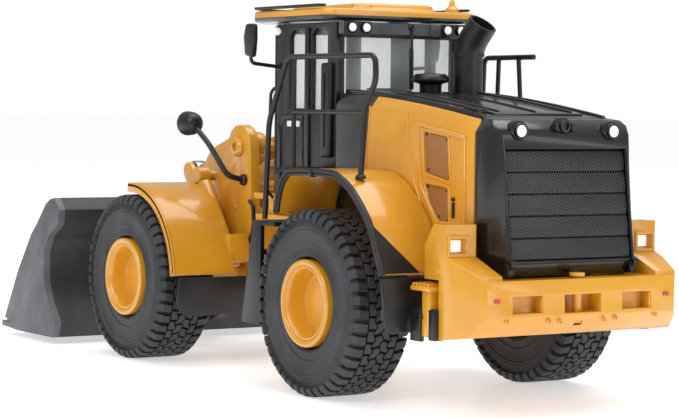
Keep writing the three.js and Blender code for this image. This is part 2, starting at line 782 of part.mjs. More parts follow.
function mudguard() {
  const [low, top] = MUDGUARD_Z;
  const plate = acrossX(
    [
      aft(21.8, top),
      aft(22.8, top),
      aft(23.5, 18),
      aft(23.1, low),
      aft(22.3, low),
      aft(22.7, 18),
    ],
    [FENDER_IN, FENDER_OUT],
  );
  const [x, z] = [FENDER_OUT - 2.9, low + 2.4];
  const y = [AXLE_Y + 20, AXLE_Y + 26];
  const corner = box([x, FENDER_OUT + 1], y, [low - 1, z - 0.3]);
  return cut(plate, cut(corner, rodY(x, z, MUDGUARD_CORNER_R, y)));
}

const LADDER_Y = [AXLE_Y - 23.5, AXLE_Y - 16.9];
const LADDER_LOW_Z = 11;
const LADDER_TOP_Z = 29.4;
const STEP_PITCH = 6.2;
const LADDER_RAKE = 4; // how far the top leans back
const CHEEK_T = 0.8;
const LADDER_OUT = FENDER_OUT - 0.7;
const DECK_IN = Math.max(HOOD_HW, CAB_HW) + GAP; // clear of the hood and of the cab

function ladder() {
  const cheek = [
    [LADDER_Y[0], LADDER_LOW_Z],
    [LADDER_Y[1], LADDER_LOW_Z],
    [LADDER_Y[1], LADDER_TOP_Z],
    [LADDER_Y[0] + LADDER_RAKE, LADDER_TOP_Z],
  ];
  const cheekIn = DECK_IN + 2.1;
  const steps = [0, 1, 2].map((count) => {
    const rise = count * STEP_PITCH;
    const front = LADDER_Y[0] + (rise / (LADDER_TOP_Z - LADDER_LOW_Z)) * LADDER_RAKE;
    const z = LADDER_LOW_Z + rise;
    return box([cheekIn + 0.3, LADDER_OUT - 0.1], [front, LADDER_Y[1]], [z, z + CHEEK_T]);
  });
  const deckY = [AXLE_Y - 20.3, FENDER_LINE[0][0] - 0.9];
  const top = box([DECK_IN, LADDER_OUT - 0.1], deckY, [LADDER_TOP_Z - CHEEK_T, LADDER_TOP_Z]);
  const cheeks = [
    [cheekIn, cheekIn + CHEEK_T],
    [LADDER_OUT - CHEEK_T, LADDER_OUT],
  ].map((x) => acrossX(cheek, x));
  const riser = box([DECK_IN, DECK_IN + CHEEK_T], deckY, [LADDER_TOP_Z - 1, DECK_Z - 0.6]);
  const deck = box([DECK_IN, FENDER_OUT - 3.3], deckY, [DECK_Z - 0.8, DECK_Z - 0.1]);
  return join(...cheeks, ...steps, top, riser, deck);
}

const RAIL_R = 0.5;
const THIN = 0.86; // radius of a leg or cross bar, as a share of the rail's

function leftHandrail() {
  const z = { middle: DECK_Z + 9.8, top: DECK_Z + 19.3 };
  const x = { front: FENDER_OUT - 2.1, upright: FENDER_OUT - 2.9, rear: FENDER_OUT - 3.3 };
  const foot = fenderPoint(11.1);
  const loop = tube(
    [
      [x.front, ...aft(-17.9, LADDER_TOP_Z + GAP)],
      [x.front, ...aft(-16.7, DECK_Z + 8)],
      [x.front - 0.4, ...aft(-11.3, z.top)],
      [x.rear, ...aft(15.1, z.top)],
      [x.rear, ...aft(15.4, DECK_Z + 15)],
      [x.rear, ...aft(11.9, z.middle + 0.6)],
      [x.rear, foot[0], foot[1] + GAP],
    ],
    RAIL_R,
    1.4,
    30,
    6,
  );
  const low = fenderPoint(-9.7);
  const upright = bar([x.upright, low[0], z.top], [x.upright, low[0], low[1] + 2], RAIL_R * THIN, 6);
  const cross = bar([x.upright, low[0], z.middle], [x.rear, ...aft(12, z.middle)], RAIL_R * THIN, 6);
  return join(loop, upright, cross);
}

function rightHandrail() {
  const z = { foot: DECK_Z + GAP, top: DECK_Z + 20.2 };
  const x = -FENDER_OUT + 5.5;
  const loop = tube(
    [
      [x, ...aft(-17.9, z.foot)],
      [x, ...aft(-17.1, z.top)],
      [x, ...aft(-1.9, z.top)],
    ],
    RAIL_R,
    1.4,
    12,
    6,
  );
  const legs = [
    bar([x, ...aft(-12.5, z.top)], [x, ...aft(-13.3, z.foot)], RAIL_R * THIN, 6),
    bar([x, ...aft(-6.5, z.top)], [x, ...aft(-4.9, z.foot)], RAIL_R * THIN, 6),
  ];
  return join(loop, ...legs);
}

// The point of the fender's top line at a distance behind the rear axle.
function fenderPoint(distance) {
  const y = AXLE_Y + distance;
  const i = FENDER_LINE.findIndex(([next]) => next >= y);
  const [[y0, z0], [y1, z1]] = [FENDER_LINE[i - 1], FENDER_LINE[i]];
  return [y, z0 + ((z1 - z0) * (y - y0)) / (y1 - y0)];
}

// ---- cab ----
// The cab's plan, drawn in by `inset`: a nose narrower than the body, with slanted corners.
function cabPlan(inset) {
  const [nose, corner, rear] = CAB_Y;
  const half = [
    [CAB_NOSE_HW - inset * 0.6, nose + inset],
    [CAB_HW - inset, corner + inset * 0.4],
    [CAB_HW - inset, rear - inset],
  ];
  return [...half, ...half.map(([x, y]) => [-x, y]).reverse()];
}

// A window with cut corners, through the walls that `across` spans.
function sideWindow(y, z, across) {
  const corner = 1.2;
  return acrossX(
    [
      [y[0], z[0]],
      [y[1], z[0]],
      [y[1], z[1] - corner],
      [y[1] - corner, z[1]],
      [y[0] + corner, z[1]],
      [y[0], z[1] - corner],
    ],
    across,
  );
}

function cabFrame() {
  const top = CAB_TOP_Z;
  const body = upZ(cabPlan(0), [CAB_LOW_Z, top]);
  const room = upZ(cabPlan(CAB_WALL), [CAB_LOW_Z + 3, top + 1]);
  const across = [-CAB_HW - 1, CAB_HW + 1];
  const windows = [
    sideWindow([4.6, 9.9], [SILL_Z + 0.4, top - 1.2], across),
    sideWindow([12.2, 17.6], [SILL_Z, top - 1], across),
    box([-7, 7], [CAB_Y[0] - 1, CAB_Y[0] + 3], [36, top - 1.4]),
    alongY(
      [
        [-12.3, SILL_Z + 1],
        [12.3, SILL_Z + 1],
        [12.3, top - 2.6],
        [-12.3, top - 2.6],
      ],
      [CAB_Y[2] - 3, CAB_Y[2] + 1],
    ),
    ...[1, -1].map((sign) => cornerWindow(sign)),
  ];
  return cut(body, room, ...windows);
}

// The opening in the slanted panel between the cab's nose and its side.
function cornerWindow(sign) {
  const [nose, corner] = CAB_Y;
  const at = (along) => [CAB_NOSE_HW + (CAB_HW - CAB_NOSE_HW) * along, nose + (corner - nose) * along];
  const [a, b] = [at(0.16), at(0.84)];
  const out = 1.6;
  const outline = [
    [sign * (a[0] + out), a[1] - out * 0.5],
    [sign * (b[0] + out), b[1] - out * 0.5],
    [sign * (b[0] - out), b[1] + out * 0.5],
    [sign * (a[0] - out), a[1] + out * 0.5],
  ];
  return upZ(outline, [37, CAB_TOP_Z - 1.4]);
}

// One band of glass that lines the cab's walls from the inside.
function cabGlazing() {
  const z = [CAB_LOW_Z + 5, CAB_TOP_Z - GAP];
  const band = upZ(cabPlan(CAB_WALL + GAP), z);
  return cut(band, upZ(cabPlan(CAB_WALL + GAP + 0.5), [z[0] - 1, z[1] + 1]));
}

function cabSeat() {
  const floor = CAB_LOW_Z + 3 + GAP;
  const base = box([-3.5, 3.5], [8, 14.5], [floor, floor + 6]);
  const cushion = box([-4.2, 4.2], [6.6, 15], [floor + 5.6, floor + 8.4]);
  const back = acrossX(
    [
      [13.6, floor + 8],
      [15.4, floor + 8],
      [17, floor + 19],
      [15.4, floor + 20],
    ],
    [-3.9, 3.9],
  );
  return join(base, cushion, back);
}

function steeringConsole() {
  const floor = CAB_LOW_Z + 3 + GAP;
  const column = bar([0, -3.6, floor], [0, -0.6, floor + 12], 0.8);
  const foot = box([-2, 2], [-5, -1.6], [floor, floor + 2]);
  const wheel = rodY(0, 0, 3.4, [-0.35, 0.35], 16);
  const ring = cut(wheel, rodY(0, 0, 2.7, [-1, 1], 16));
  const spokes = join(box([-3, 3], [-0.3, 0.3], [-0.4, 0.4]), rodY(0, 0, 1, [-0.5, 0.5], 12));
  const turned = join(ring, spokes).rotate([-62, 0, 0]);
  return join(foot, column, moved(turned, 0, -0.6, floor + 12));
}

function roofPlan(inset) {
  const half = [
    [ROOF_HW - 5.5 - inset, -9.6 + inset],
    [ROOF_HW - inset, -3.6 + inset],
    [ROOF_HW - inset, 20 - inset],
    [ROOF_HW - 1.6 - inset, CAB_Y[2] + 1.2 - inset],
  ];
  return [...half, ...half.map(([x, y]) => [-x, y]).reverse()];
}

const ROOF_LOW_Z = CAB_TOP_Z + GAP;

function cabRoof() {
  const slab = upZ(roofPlan(0), [ROOF_LOW_Z, ROOF_LOW_Z + ROOF_T]);
  const crown = upZ(
    [
      [-7.5, -5],
      [7.5, -5],
      [9, 18],
      [6.5, 20.6],
      [-6.5, 20.6],
      [-9, 18],
    ],
    [ROOF_LOW_Z + ROOF_T - 0.5, ROOF_LOW_Z + ROOF_T + 1.1],
  );
  return join(slab, crown);
}

// The black strip along the roof's sides and front.
function roofRails() {
  const z = [ROOF_LOW_Z + ROOF_T + GAP, ROOF_LOW_Z + ROOF_T + 0.8];
  const ring = cut(upZ(roofPlan(0), z), upZ(roofPlan(1.3), [z[0] - 1, z[1] + 1]));
  return cut(ring, box([-30, 30], [19, 30], [z[0] - 1, z[1] + 1]));
}

// The panel under the roof's rear edge, with a lamp box at each end.
function rearLampHeader() {
  const y = [CAB_Y[2] + GAP, CAB_Y[2] + 0.9];
  const z = [CAB_TOP_Z - 2.2, ROOF_LOW_Z - GAP];
  const panel = box([-13.4, 13.4], y, z);
  const boxes = [
    [5.6, 13.7],
    [-13.7, -5.6],
  ].map((x) => box(x, [y[0], y[1] + 0.8], z));
  return join(panel, ...boxes);
}

function mirror() {
  const arm = tube(
    [
      [CAB_HW + GAP, 1.6, 57],
      [20.2, 1.6, 57.6],
      [20.6, 1.9, 60],
    ],
    0.35,
    0.8,
    6,
    6,
  );
  const head = acrossX(
    [
      [0.5, 59],
      [3, 58.6],
      [3.6, 62],
      [3.4, 64.8],
      [0.8, 64.8],
      [0, 62.5],
    ],
    [20, 21],
  );
  return join(arm, head);
}

// ---- front frame ----
const FRONT_BASE_Z = 21.3;
const TOWER_REAR = AXLE_Y - 17.9; // ahead of the steering pin

function towerPlate(sign) {
  const dome = arc(side(ARM_PIVOT), 4.4, 0, 165, 6);
  const outline = [
    [-TOWER_REAR, 18],
    [-TOWER_REAR - 0.4, 34],
    ...dome,
    fore(-3.7, 35.6),
    fore(-0.5, 28.4),
    fore(2.5, 22.4),
    fore(2.5, 20.6),
    fore(-3, 20.6),
    fore(-9.5, 18),
  ];
  const x = [TOWER_IN, TOWER_IN + TOWER_T];
  return acrossX(outline, sign > 0 ? x : [-x[1], -x[0]]);
}

function frontFrame() {
  const towers = [1, -1].map((sign) => towerPlate(sign));
  const wide = TOWER_IN + TOWER_T;
  const base = box([-wide, wide], [-AXLE_Y + 0.5, -TOWER_REAR], [FRONT_BASE_Z, FRONT_BASE_Z + 2.6]);
  const web = box([-wide, wide], [-TOWER_REAR - 2.2, -TOWER_REAR], [LUG_LOW_Z + 3.4, LUG_HIGH_Z + 6]);
  const cross = rodX(...fore(-14.5, 34), 1.3, [-TOWER_IN - 0.5, TOWER_IN + 0.5], 12);
  const armPin = rodX(...side(ARM_PIVOT), LIFT_PIN_R + 0.1, [-wide - 0.5, wide + 0.5]);
  const lowLug = [LUG_LOW_Z + LUG_T + GAP, LUG_LOW_Z + 2 * LUG_T + GAP];
  const highLug = [LUG_HIGH_Z - LUG_T - GAP, LUG_HIGH_Z - GAP];
  const liftPins = [1, -1].map((sign) => {
    const x = [wide - 0.5, CYL_X + 2];
    return rodX(...side(LIFT_BASE), LIFT_PIN_R, sign > 0 ? x : [-x[1], -x[0]]);
  });
  return join(
    ...towers,
    base,
    web,
    cross,
    armPin,
    ...liftPins,
    steeringLug(-TOWER_REAR - 1, lowLug),
    steeringLug(-TOWER_REAR - 1, highLug),
  );
}

const FRONT_FENDER_R = TYRE_R + 2.3;
const FRONT_FENDER_T = 0.9;
const FRONT_FENDER_IN = CYL_X + EYE_R + GAP;

function frontFender() {
  const centre = side([AXLE_Y, TYRE_R]);
  const outer = arc(centre, FRONT_FENDER_R, 4, 84, 10);
  const inner = arc(centre, FRONT_FENDER_R - FRONT_FENDER_T, 84, 4, 10);
  const lip = [fore(0.9, TYRE_R + FRONT_FENDER_R), fore(0.9, TYRE_R + FRONT_FENDER_R - FRONT_FENDER_T)];
  const shell = acrossX([...outer, ...lip, ...inner], [FRONT_FENDER_IN, TYRE_OUT - 1]);
  const bracketY = [-TOWER_REAR - 1.8, -TOWER_REAR - GAP];
  const bracket = box([TOWER_IN + TOWER_T + GAP, FRONT_FENDER_IN + 1], bracketY, [19.5, 25]);
  return join(shell, bracket);
}

function mudflap() {
  const top = TYRE_R + 0.9;
  const outline = [fore(-18.3, top), fore(-18.9, top), fore(-17.5, 9.6), fore(-16.8, 9.6)];
  const [inner, outer] = [CYL_X - 0.5, TYRE_OUT - 1.9];
  const plate = acrossX(outline, [inner, outer]);
  const y = [-TOWER_REAR - 5, -TOWER_REAR + 4];
  const corner = box([outer - 3, outer + 1], y, [8, 12.6]);
  return cut(plate, cut(corner, rodY(outer - 3, 12.6, 3, y)));
}

function headlamp() {
  const face = TOWER_IN + TOWER_T + GAP;
  const foot = fore(-15.1, 35.4);
  const arm = tube(
    [
      [face, ...foot],
      [face + 3.5, ...fore(-14.9, 36.2)],
      [face + 5.3, ...fore(-10.5, 42.4)],
      [face + 6.1, ...fore(-5.9, 46)],
    ],
    0.55,
    1.2,
    9,
    6,
  );
  const flange = rodX(...foot, 1, [face, face + 0.9], 10);
  const head = rodY(face + 6.1, 46.2, 2.3, [-AXLE_Y + 3.5, -AXLE_Y + 5.9], 16);
  return join(arm, flange, head);
}

// ---- lift linkage ----
const ARM_X = [TOWER_IN - 0.4 - ARM_T, TOWER_IN - 0.4];
const LIFT_BORE_R = 1.1;
const LIFT_EYE_SIZE = { r: EYE_R, hw: 1.2, pin: LIFT_PIN_R + FIT };

function bothSides(make, x) {
  return join(make(x), make([-x[1], -x[0]]));
}

function liftArms() {
  const outline = [
    ...arc(side(ARM_PIVOT), 3, -60, 90, 5),
    fore(-7.5, 44.2),
    fore(2.5, 41),
    fore(9.5, 33.5),
    fore(14.1, 28.4),
    fore(17.1, 22),
    ...arc(side(BUCKET_PIVOT), 2.4, 140, 320, 6),
    fore(13.5, 13.6),
    fore(4.5, 24),
    fore(-4, 32),
  ];
  const plates = bothSides((x) => acrossX(outline, x), ARM_X);
  const torqueTube = rodX(...fore(3.5, 32), 1.8, [-ARM_X[0] - 0.5, ARM_X[0] + 0.5], 14);
  const crankPin = rodX(...side(CRANK_PIVOT), TILT_PIN_R + 0.3, [-ARM_X[0] - 0.5, ARM_X[0] + 0.5]);
  const pinEnd = CYL_X - LIFT_EYE_SIZE.hw - GAP;
  const rodPins = bothSides((x) => rodX(...side(LIFT_EYE), LIFT_PIN_R, x), [ARM_X[1] - 0.5, pinEnd]);
  const whole = join(plates, torqueTube, crankPin, rodPins);
  return cut(
    whole,
    rodX(...side(ARM_PIVOT), LIFT_PIN_R + 0.1 + FIT, [-20, 20]),
    bothSides((x) => rodX(...side(BUCKET_PIVOT), TILT_PIN_R + FIT, x), [2, ARM_X[1] + 1]),
  );
}

// A plate of even width between two round ends, seen from the side.
function strap(from, to, rFrom, rTo, x) {
  const [a, b] = [side(from), side(to)];
  const angle = THREE.MathUtils.radToDeg(Math.atan2(b[1] - a[1], b[0] - a[0]));
  const outline = [...arc(b, rTo, angle - 90, angle + 90, 6), ...arc(a, rFrom, angle + 90, angle + 270, 6)];
  return acrossX(outline, x);
}

function bellCrank() {
  const x = [LINK_HW + GAP, LINK_HW + GAP + CRANK_PLATE_T];
  const upper = bothSides((span) => strap(CRANK_PIVOT, CRANK_HIGH, 2.6, 1.9, span), x);
  const lower = bothSides((span) => strap(CRANK_PIVOT, CRANK_LOW, 2.6, 1.9, span), x);
  const hub = rodX(...side(CRANK_PIVOT), 2.4, [-x[1], x[1]]);
  const pins = [CRANK_HIGH, CRANK_LOW].map((point) => rodX(...side(point), TILT_PIN_R, [-x[1], x[1]]));
  const whole = join(upper, lower, hub, ...pins);
  return cut(whole, rodX(...side(CRANK_PIVOT), TILT_PIN_R + 0.3 + FIT, [-10, 10]));
}

function tiltLink() {
  const whole = strap(CRANK_LOW, LINK_FRONT, 1.8, 1.8, [-LINK_HW, LINK_HW]);
  return cut(
    whole,
    rodX(...side(CRANK_LOW), TILT_PIN_R + FIT, [-5, 5]),
    rodX(...side(LINK_FRONT), TILT_PIN_R + FIT, [-5, 5]),
  );
}

// A place on the line from one linkage point to another, at a distance from the first.
function along(from, to, distance) {
  const size = Math.hypot(to[0] - from[0], to[1] - from[1]);
  return from.map((value, i) => value + ((to[i] - value) / size) * distance);
}

function point(x, linkage) {
  return [x, ...side(linkage)];
}

// A cylinder's barrel: an eye at its base, and a bore that is open at its mouth.
function barrel(base, mouth, x, eye, r, length, boreR) {
  const eyeRing = rodX(...side(base), eye.r, [x - eye.hw, x + eye.hw]);
  const bodyEnds = [eye.r * 0.5, length].map((distance) => point(x, along(base, mouth, distance)));
  const body = bar(...bodyEnds, r);
  const boreEnds = [eye.r + 0.5, length + 2].map((distance) => point(x, along(base, mouth, distance)));
  const bore = bar(...boreEnds, boreR);
  const pinHole = rodX(...side(base), eye.pin, [x - eye.hw - 1, x + eye.hw + 1]);
  return cut(join(eyeRing, body), bore, pinHole);
}

// A cylinder's rod with a solid round eye.
function rod(eyeAt, base, x, eye, r, length) {
  const ring = rodX(...side(eyeAt), eye.r, [x - eye.hw, x + eye.hw]);
  const ends = [eye.r * 0.6, length].map((distance) => point(x, along(eyeAt, base, distance)));
  const stem = bar(...ends, r);
  return join(ring, stem);
}

function liftBarrel(x) {
  const closed = Math.hypot(LIFT_EYE[0] - LIFT_BASE[0], LIFT_EYE[1] - LIFT_BASE[1]);
  return barrel(LIFT_BASE, LIFT_EYE, x, LIFT_EYE_SIZE, 1.5, closed - EYE_R - GAP, LIFT_BORE_R);
}

function liftRod(x) {
  const closed = Math.hypot(LIFT_EYE[0] - LIFT_BASE[0], LIFT_EYE[1] - LIFT_BASE[1]);
  return rod(LIFT_EYE, LIFT_BASE, x, LIFT_EYE_SIZE, LIFT_BORE_R - FIT, closed - EYE_R - 0.8);
}

const TILT_BORE_R = 1.35;
const TILT_BARREL_LENGTH = 24.6;
const TILT_ROD_LENGTH = 24;

function tiltBarrel() {
  const eye = { r: 2.2, hw: 1.6, pin: LIFT_PIN_R + 0.1 + FIT };
  return barrel(ARM_PIVOT, CRANK_HIGH, 0, eye, 1.9, TILT_BARREL_LENGTH, TILT_BORE_R);
}

const TILT_EYE_PLAY = 0.6; // the rod's eye hangs loosely on the crank's pin

function tiltRod() {
  const eye = { r: 2.2, hw: LINK_HW - 0.1 };
  const whole = rod(CRANK_HIGH, ARM_PIVOT, 0, eye, TILT_BORE_R - FIT, TILT_ROD_LENGTH);
  return cut(whole, rodX(...side(CRANK_HIGH), TILT_PIN_R + TILT_EYE_PLAY, [-eye.hw - 1, eye.hw + 1]));
}

// ---- bucket ----
// The bucket's back, floor and lip as one bent plate, from the top edge down and forward.
const BUCKET_LINE = [
  [BUCKET_BACK + 2.4, BUCKET_TOP_Z + 1.4],
  [BUCKET_BACK, BUCKET_TOP_Z - 1],
  [BUCKET_BACK + 0.6, 25],
  [BUCKET_BACK + 5, 22.4],
  [BUCKET_BACK + 7.2, 19],
  [BUCKET_BACK + 7.2, 13],
  [BUCKET_BACK + 5.4, 9],
  [BUCKET_BACK + 1.6, 4.6],
  [BUCKET_BACK + 3, BUCKET_FLOOR_Z],
  [BUCKET_BACK + 20, BUCKET_FLOOR_Z],
  [BUCKET_LIP, BUCKET_FLOOR_Z + 0.5],
];
const BUCKET_PLATE_T = 1.1;

function bucket() {
  const line = BUCKET_LINE.map(side);
  const inside = offsetLine(line, -BUCKET_PLATE_T).reverse();
  const floor = acrossX([...line, ...inside], [-BUCKET_HW, BUCKET_HW]);
  const cheekOutline = [
    ...BUCKET_LINE.slice(0, -1),
    [BUCKET_LIP - 1.4, BUCKET_FLOOR_Z + 2.4],
    [BUCKET_LIP - 8.1, 14.4],
    [BUCKET_LIP - 14.6, 22.4],
    [BUCKET_BACK + 10.6, 24.8],
    [BUCKET_BACK + 6.4, BUCKET_TOP_Z],
    [BUCKET_BACK + 4.4, BUCKET_TOP_Z + 1],
  ].map(side);
  const cheeks = bothSides((x) => acrossX(cheekOutline, x), [BUCKET_HW - 1.4, BUCKET_HW]);
  const armLugs = bothSides((x) => bucketLug(BUCKET_PIVOT, 2.6, x), [ARM_X[1] + 0.4, ARM_X[1] + 2]);
  const armPinX = [ARM_X[0] - 0.3, ARM_X[1] + 2.4];
  const armPins = bothSides((x) => rodX(...side(BUCKET_PIVOT), TILT_PIN_R, x), armPinX);
  const linkLugs = bothSides((x) => bucketLug(LINK_FRONT, 2.2, x), [LINK_HW + 0.4, LINK_HW + 1.7]);
  const linkPins = bothSides((x) => rodX(...side(LINK_FRONT), TILT_PIN_R, x), [LINK_HW + 0.5, LINK_HW + 2.1]);
  return join(floor, cheeks, armLugs, armPins, linkLugs, linkPins);
}

// A lug from the bucket's back to a pin.
function bucketLug(pin, r, x) {
  const root = BUCKET_BACK + 7.4;
  const outline = [
    ...arc(side(pin), r, -70, 100, 6),
    side([root, pin[1] + 4.4]),
    side([root, pin[1] + 1]),
    side([BUCKET_BACK + 2.4, Math.max(pin[1] - 4.6, 3.2)]),
  ];
  return acrossX(outline, x);
}

// ---- assembly ----
const loader = new THREE.Group();

function add(name, solid, material, x = 0, y = 0, z = 0) {
  const made = solid.getMesh();
  const geometry = new THREE.BufferGeometry();
  const stride = made.numProp;
  const positions = new Float32Array(made.numVert * 3);
  for (let i = 0; i < made.numVert; i += 1) {
    positions.set(made.vertProperties.subarray(i * stride, i * stride + 3), i * 3);
  }
  geometry.setAttribute("position", new THREE.BufferAttribute(positions, 3));
  geometry.setIndex(new THREE.BufferAttribute(made.triVerts, 1));
  geometry.computeVertexNormals();
  const mesh = new THREE.Mesh(geometry, material);
  mesh.name = name;
  mesh.position.set(x, y, z);
  loader.add(mesh);
}

function addPair(name, solid, material) {
  add("left_" + name, solid, material);
  add("right_" + name, mirrored(solid), material);
}

function addWheels(place, y) {
  add(place + "_axle_shaft", axleShaft(y), steel);
  for (const [hand, sign] of [
    ["left", 1],
    ["right", -1],
  ]) {
    const rimSolid = sign > 0 ? rim() : mirrored(rim());
    add(`${place}_${hand}_rim`, rimSolid, yellow, sign * WHEEL_X, y, TYRE_R);
    add(`${place}_${hand}_tyre`, tyre(), rubber, sign * WHEEL_X, y, TYRE_R);
  }
}

add("rear_frame", rearFrame(), yellow);
add("steering_pin", steeringPin(), steel);
add("hood_shell", hoodShell(), yellow);
add("hood_top", hoodTop(), black);
add("rear_shroud", rearShroud(), black);
add("radiator_grille", radiatorGrille(), black);
addPair("vent_screen", ventScreen(), grey);
add("counterweight", counterweight(), yellow);
add("tow_pin", towPin(), black);
add("exhaust_stack", exhaustStack(), black);
add("air_precleaner", airPrecleaner(), black);
add("beacon", beacon(), yellow);
addPair("rear_fender", rearFender(), yellow);
addPair("mudguard", mudguard(), black);
addPair("ladder", ladder(), black);
add("left_handrail", leftHandrail(), black);
add("right_handrail", rightHandrail(), black);
add("cab_frame", cabFrame(), black);
add("cab_glazing", cabGlazing(), glass);
add("cab_seat", cabSeat(), grey);
add("steering_console", steeringConsole(), black);
add("cab_roof", cabRoof(), yellow);
add("roof_rails", roofRails(), black);
add("rear_lamp_header", rearLampHeader(), grey);
addPair("mirror", mirror(), black);

add("rear_axle_housing", rearAxleHousing(), yellow);
addWheels("rear", AXLE_Y);

add("front_frame", frontFrame(), yellow);
add("front_axle_housing", frontAxleHousing(), yellow);
addPair("front_fender", frontFender(), yellow);
addPair("mudflap", mudflap(), black);
addPair("headlamp", headlamp(), black);
addWheels("front", -AXLE_Y);

add("lift_arms", liftArms(), yellow);
add("bell_crank", bellCrank(), yellow);
add("tilt_link", tiltLink(), yellow);
add("tilt_barrel", tiltBarrel(), yellow);
add("tilt_rod", tiltRod(), steel);
add("left_lift_barrel", liftBarrel(CYL_X), yellow);
add("right_lift_barrel", liftBarrel(-CYL_X), yellow);
add("left_lift_rod", liftRod(CYL_X), steel);
add("right_lift_rod", liftRod(-CYL_X), steel);
add("bucket", bucket(), bucketGrey);

loader.position.y = HINGE_Y;
const part = new THREE.Group();
part.add(loader);
export default part;
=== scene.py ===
"""The looks of a 1:50 die-cast wheel loader.

Sizes are millimetres in the machine's own frame: x is its left, y its rear from the steering pin, and
z up from the ground. place() turns them into the shared frame's metres.
"""

import json
import math

import bmesh
import bpy
from mathutils import Matrix, Vector

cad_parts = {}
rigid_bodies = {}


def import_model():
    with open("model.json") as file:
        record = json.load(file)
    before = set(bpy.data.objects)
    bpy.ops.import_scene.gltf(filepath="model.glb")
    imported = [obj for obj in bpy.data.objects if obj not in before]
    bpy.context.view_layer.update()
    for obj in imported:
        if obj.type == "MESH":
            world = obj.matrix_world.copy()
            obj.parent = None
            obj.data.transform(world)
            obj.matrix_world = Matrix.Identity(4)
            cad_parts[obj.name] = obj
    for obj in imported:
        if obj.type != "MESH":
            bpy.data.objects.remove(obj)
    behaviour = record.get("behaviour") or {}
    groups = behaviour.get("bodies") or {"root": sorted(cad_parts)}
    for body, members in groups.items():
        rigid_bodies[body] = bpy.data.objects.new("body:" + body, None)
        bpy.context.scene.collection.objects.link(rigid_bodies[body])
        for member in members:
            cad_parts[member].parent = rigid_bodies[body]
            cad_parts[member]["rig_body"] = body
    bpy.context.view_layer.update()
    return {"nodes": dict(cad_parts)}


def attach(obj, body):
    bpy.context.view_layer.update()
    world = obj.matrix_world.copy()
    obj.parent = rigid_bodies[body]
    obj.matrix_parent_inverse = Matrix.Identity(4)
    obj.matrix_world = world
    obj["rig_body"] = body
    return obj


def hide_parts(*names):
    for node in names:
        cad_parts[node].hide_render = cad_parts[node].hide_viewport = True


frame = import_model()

MM = 0.001
HINGE_Y = 7.0  # the steering pin lies this far behind the shared frame's origin
SMOOTH = math.radians(35)
TURN = 2 * math.pi

REAR, FRONT = "rear_chassis", "front_chassis"
AXLE_Z = 16.1
REAR_AXLE_Y, FRONT_AXLE_Y = 33.5, -33.5
WHEEL_X = 22.3
HANDS = {"left": 1, "right": -1}


def place(x, y, z):
    return Vector((x, y + HINGE_Y, z)) * MM


# ---- selecting and finishing ----
def only(*pieces):
    bpy.ops.object.select_all(action="DESELECT")
    for piece in pieces:
        piece.select_set(True)
    bpy.context.view_layer.objects.active = pieces[0]


class Editing:
    """Edit mode on one piece, with helpers that select by place or normal."""

    def __init__(self, piece, mode="FACE"):
        self.piece, self.mode = piece, mode

    def __enter__(self):
        only(self.piece)
        bpy.ops.object.mode_set(mode="EDIT")
        bpy.ops.mesh.select_mode(type=self.mode)
        return self

    def __exit__(self, *error):
        bpy.ops.object.mode_set(mode="OBJECT")

    def pick(self, test):
        """Selects the vertices, edges or faces that pass the test, and returns how many do."""
        mesh = bmesh.from_edit_mesh(self.piece.data)
        bpy.ops.mesh.select_all(action="DESELECT")
        group = {"VERT": mesh.verts, "EDGE": mesh.edges, "FACE": mesh.faces}[self.mode]
        chosen = [item for item in group if test(item)]
        for item in chosen:
            item.select_set(True)
        mesh.select_flush_mode()
        bmesh.update_edit_mesh(self.piece.data)
        return len(chosen)

    def all(self):
        bpy.ops.mesh.select_all(action="SELECT")

    def move(self, offset):
        """Moves each vertex to offset(its place)."""
        mesh = bmesh.from_edit_mesh(self.piece.data)
        for vertex in mesh.verts:
            vertex.co = offset(vertex.co.copy())
        bmesh.update_edit_mesh(self.piece.data)


def mend(piece):
    """Merges doubles and turns the faces outwards."""
    with Editing(piece) as edit:
        edit.all()
        bpy.ops.mesh.remove_doubles(threshold=1e-6)
        bpy.ops.mesh.dissolve_degenerate(threshold=1e-7)
        edit.all()
        bpy.ops.mesh.normals_make_consistent(inside=False)


def settle(piece):
    only(piece)
    bpy.ops.object.transform_apply(location=True, rotation=True, scale=True)


def modify(piece, kind, **settings):
    only(piece)
    modifier = piece.modifiers.new(kind.lower(), kind)
    for key, value in settings.items():
        setattr(modifier, key, value)
    bpy.ops.object.modifier_apply(modifier=modifier.name)


def bevel(piece, width, segments=2, angle=40):
    modify(
        piece,
        "BEVEL",
        width=width * MM,
        segments=segments,
        limit_method="ANGLE",
        angle_limit=math.radians(angle),
        use_clamp_overlap=True,
        harden_normals=False,
    )


def smooth(piece, angle=SMOOTH):
    only(piece)
    bpy.ops.object.shade_smooth_by_angle(angle=angle)


def finish_piece(piece, body, finish, replaces=()):
    """Shades a made piece, paints it and hangs it on its body."""
    smooth(piece)
    piece.data.materials.clear()
    piece.data.materials.append(finish.material)
    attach(piece, body)
    if replaces:
        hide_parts(*replaces)
    return piece


# ---- starting shapes ----
def named(name):
    piece = bpy.context.object
    piece.name = piece.data.name = name
    return piece


def block(name, x, y, z):
    middle = [(low + high) / 2 for low, high in (x, y, z)]
    bpy.ops.mesh.primitive_cube_add(size=1, location=place(*middle))
    piece = named(name)
    piece.scale = [(high - low) * MM for low, high in (x, y, z)]
    settle(piece)
    return piece


def loop(name, points, fill="NOTHING"):
    """A closed outline: a circle whose vertices are put at the given places, in metres."""
    bpy.ops.mesh.primitive_circle_add(vertices=len(points), fill_type=fill)
    piece = named(name)
    for vertex, point in zip(piece.data.vertices, points):
        vertex.co = point
    piece.data.update()
    return piece


AXES = {
    "x": lambda a, b, t: place(t, a, b),  # an outline of [y, z], extruded across
    "y": lambda a, b, t: place(a, t, b),  # [x, z], extruded along
    "z": lambda a, b, t: place(a, b, t),  # [x, y], extruded upwards
}


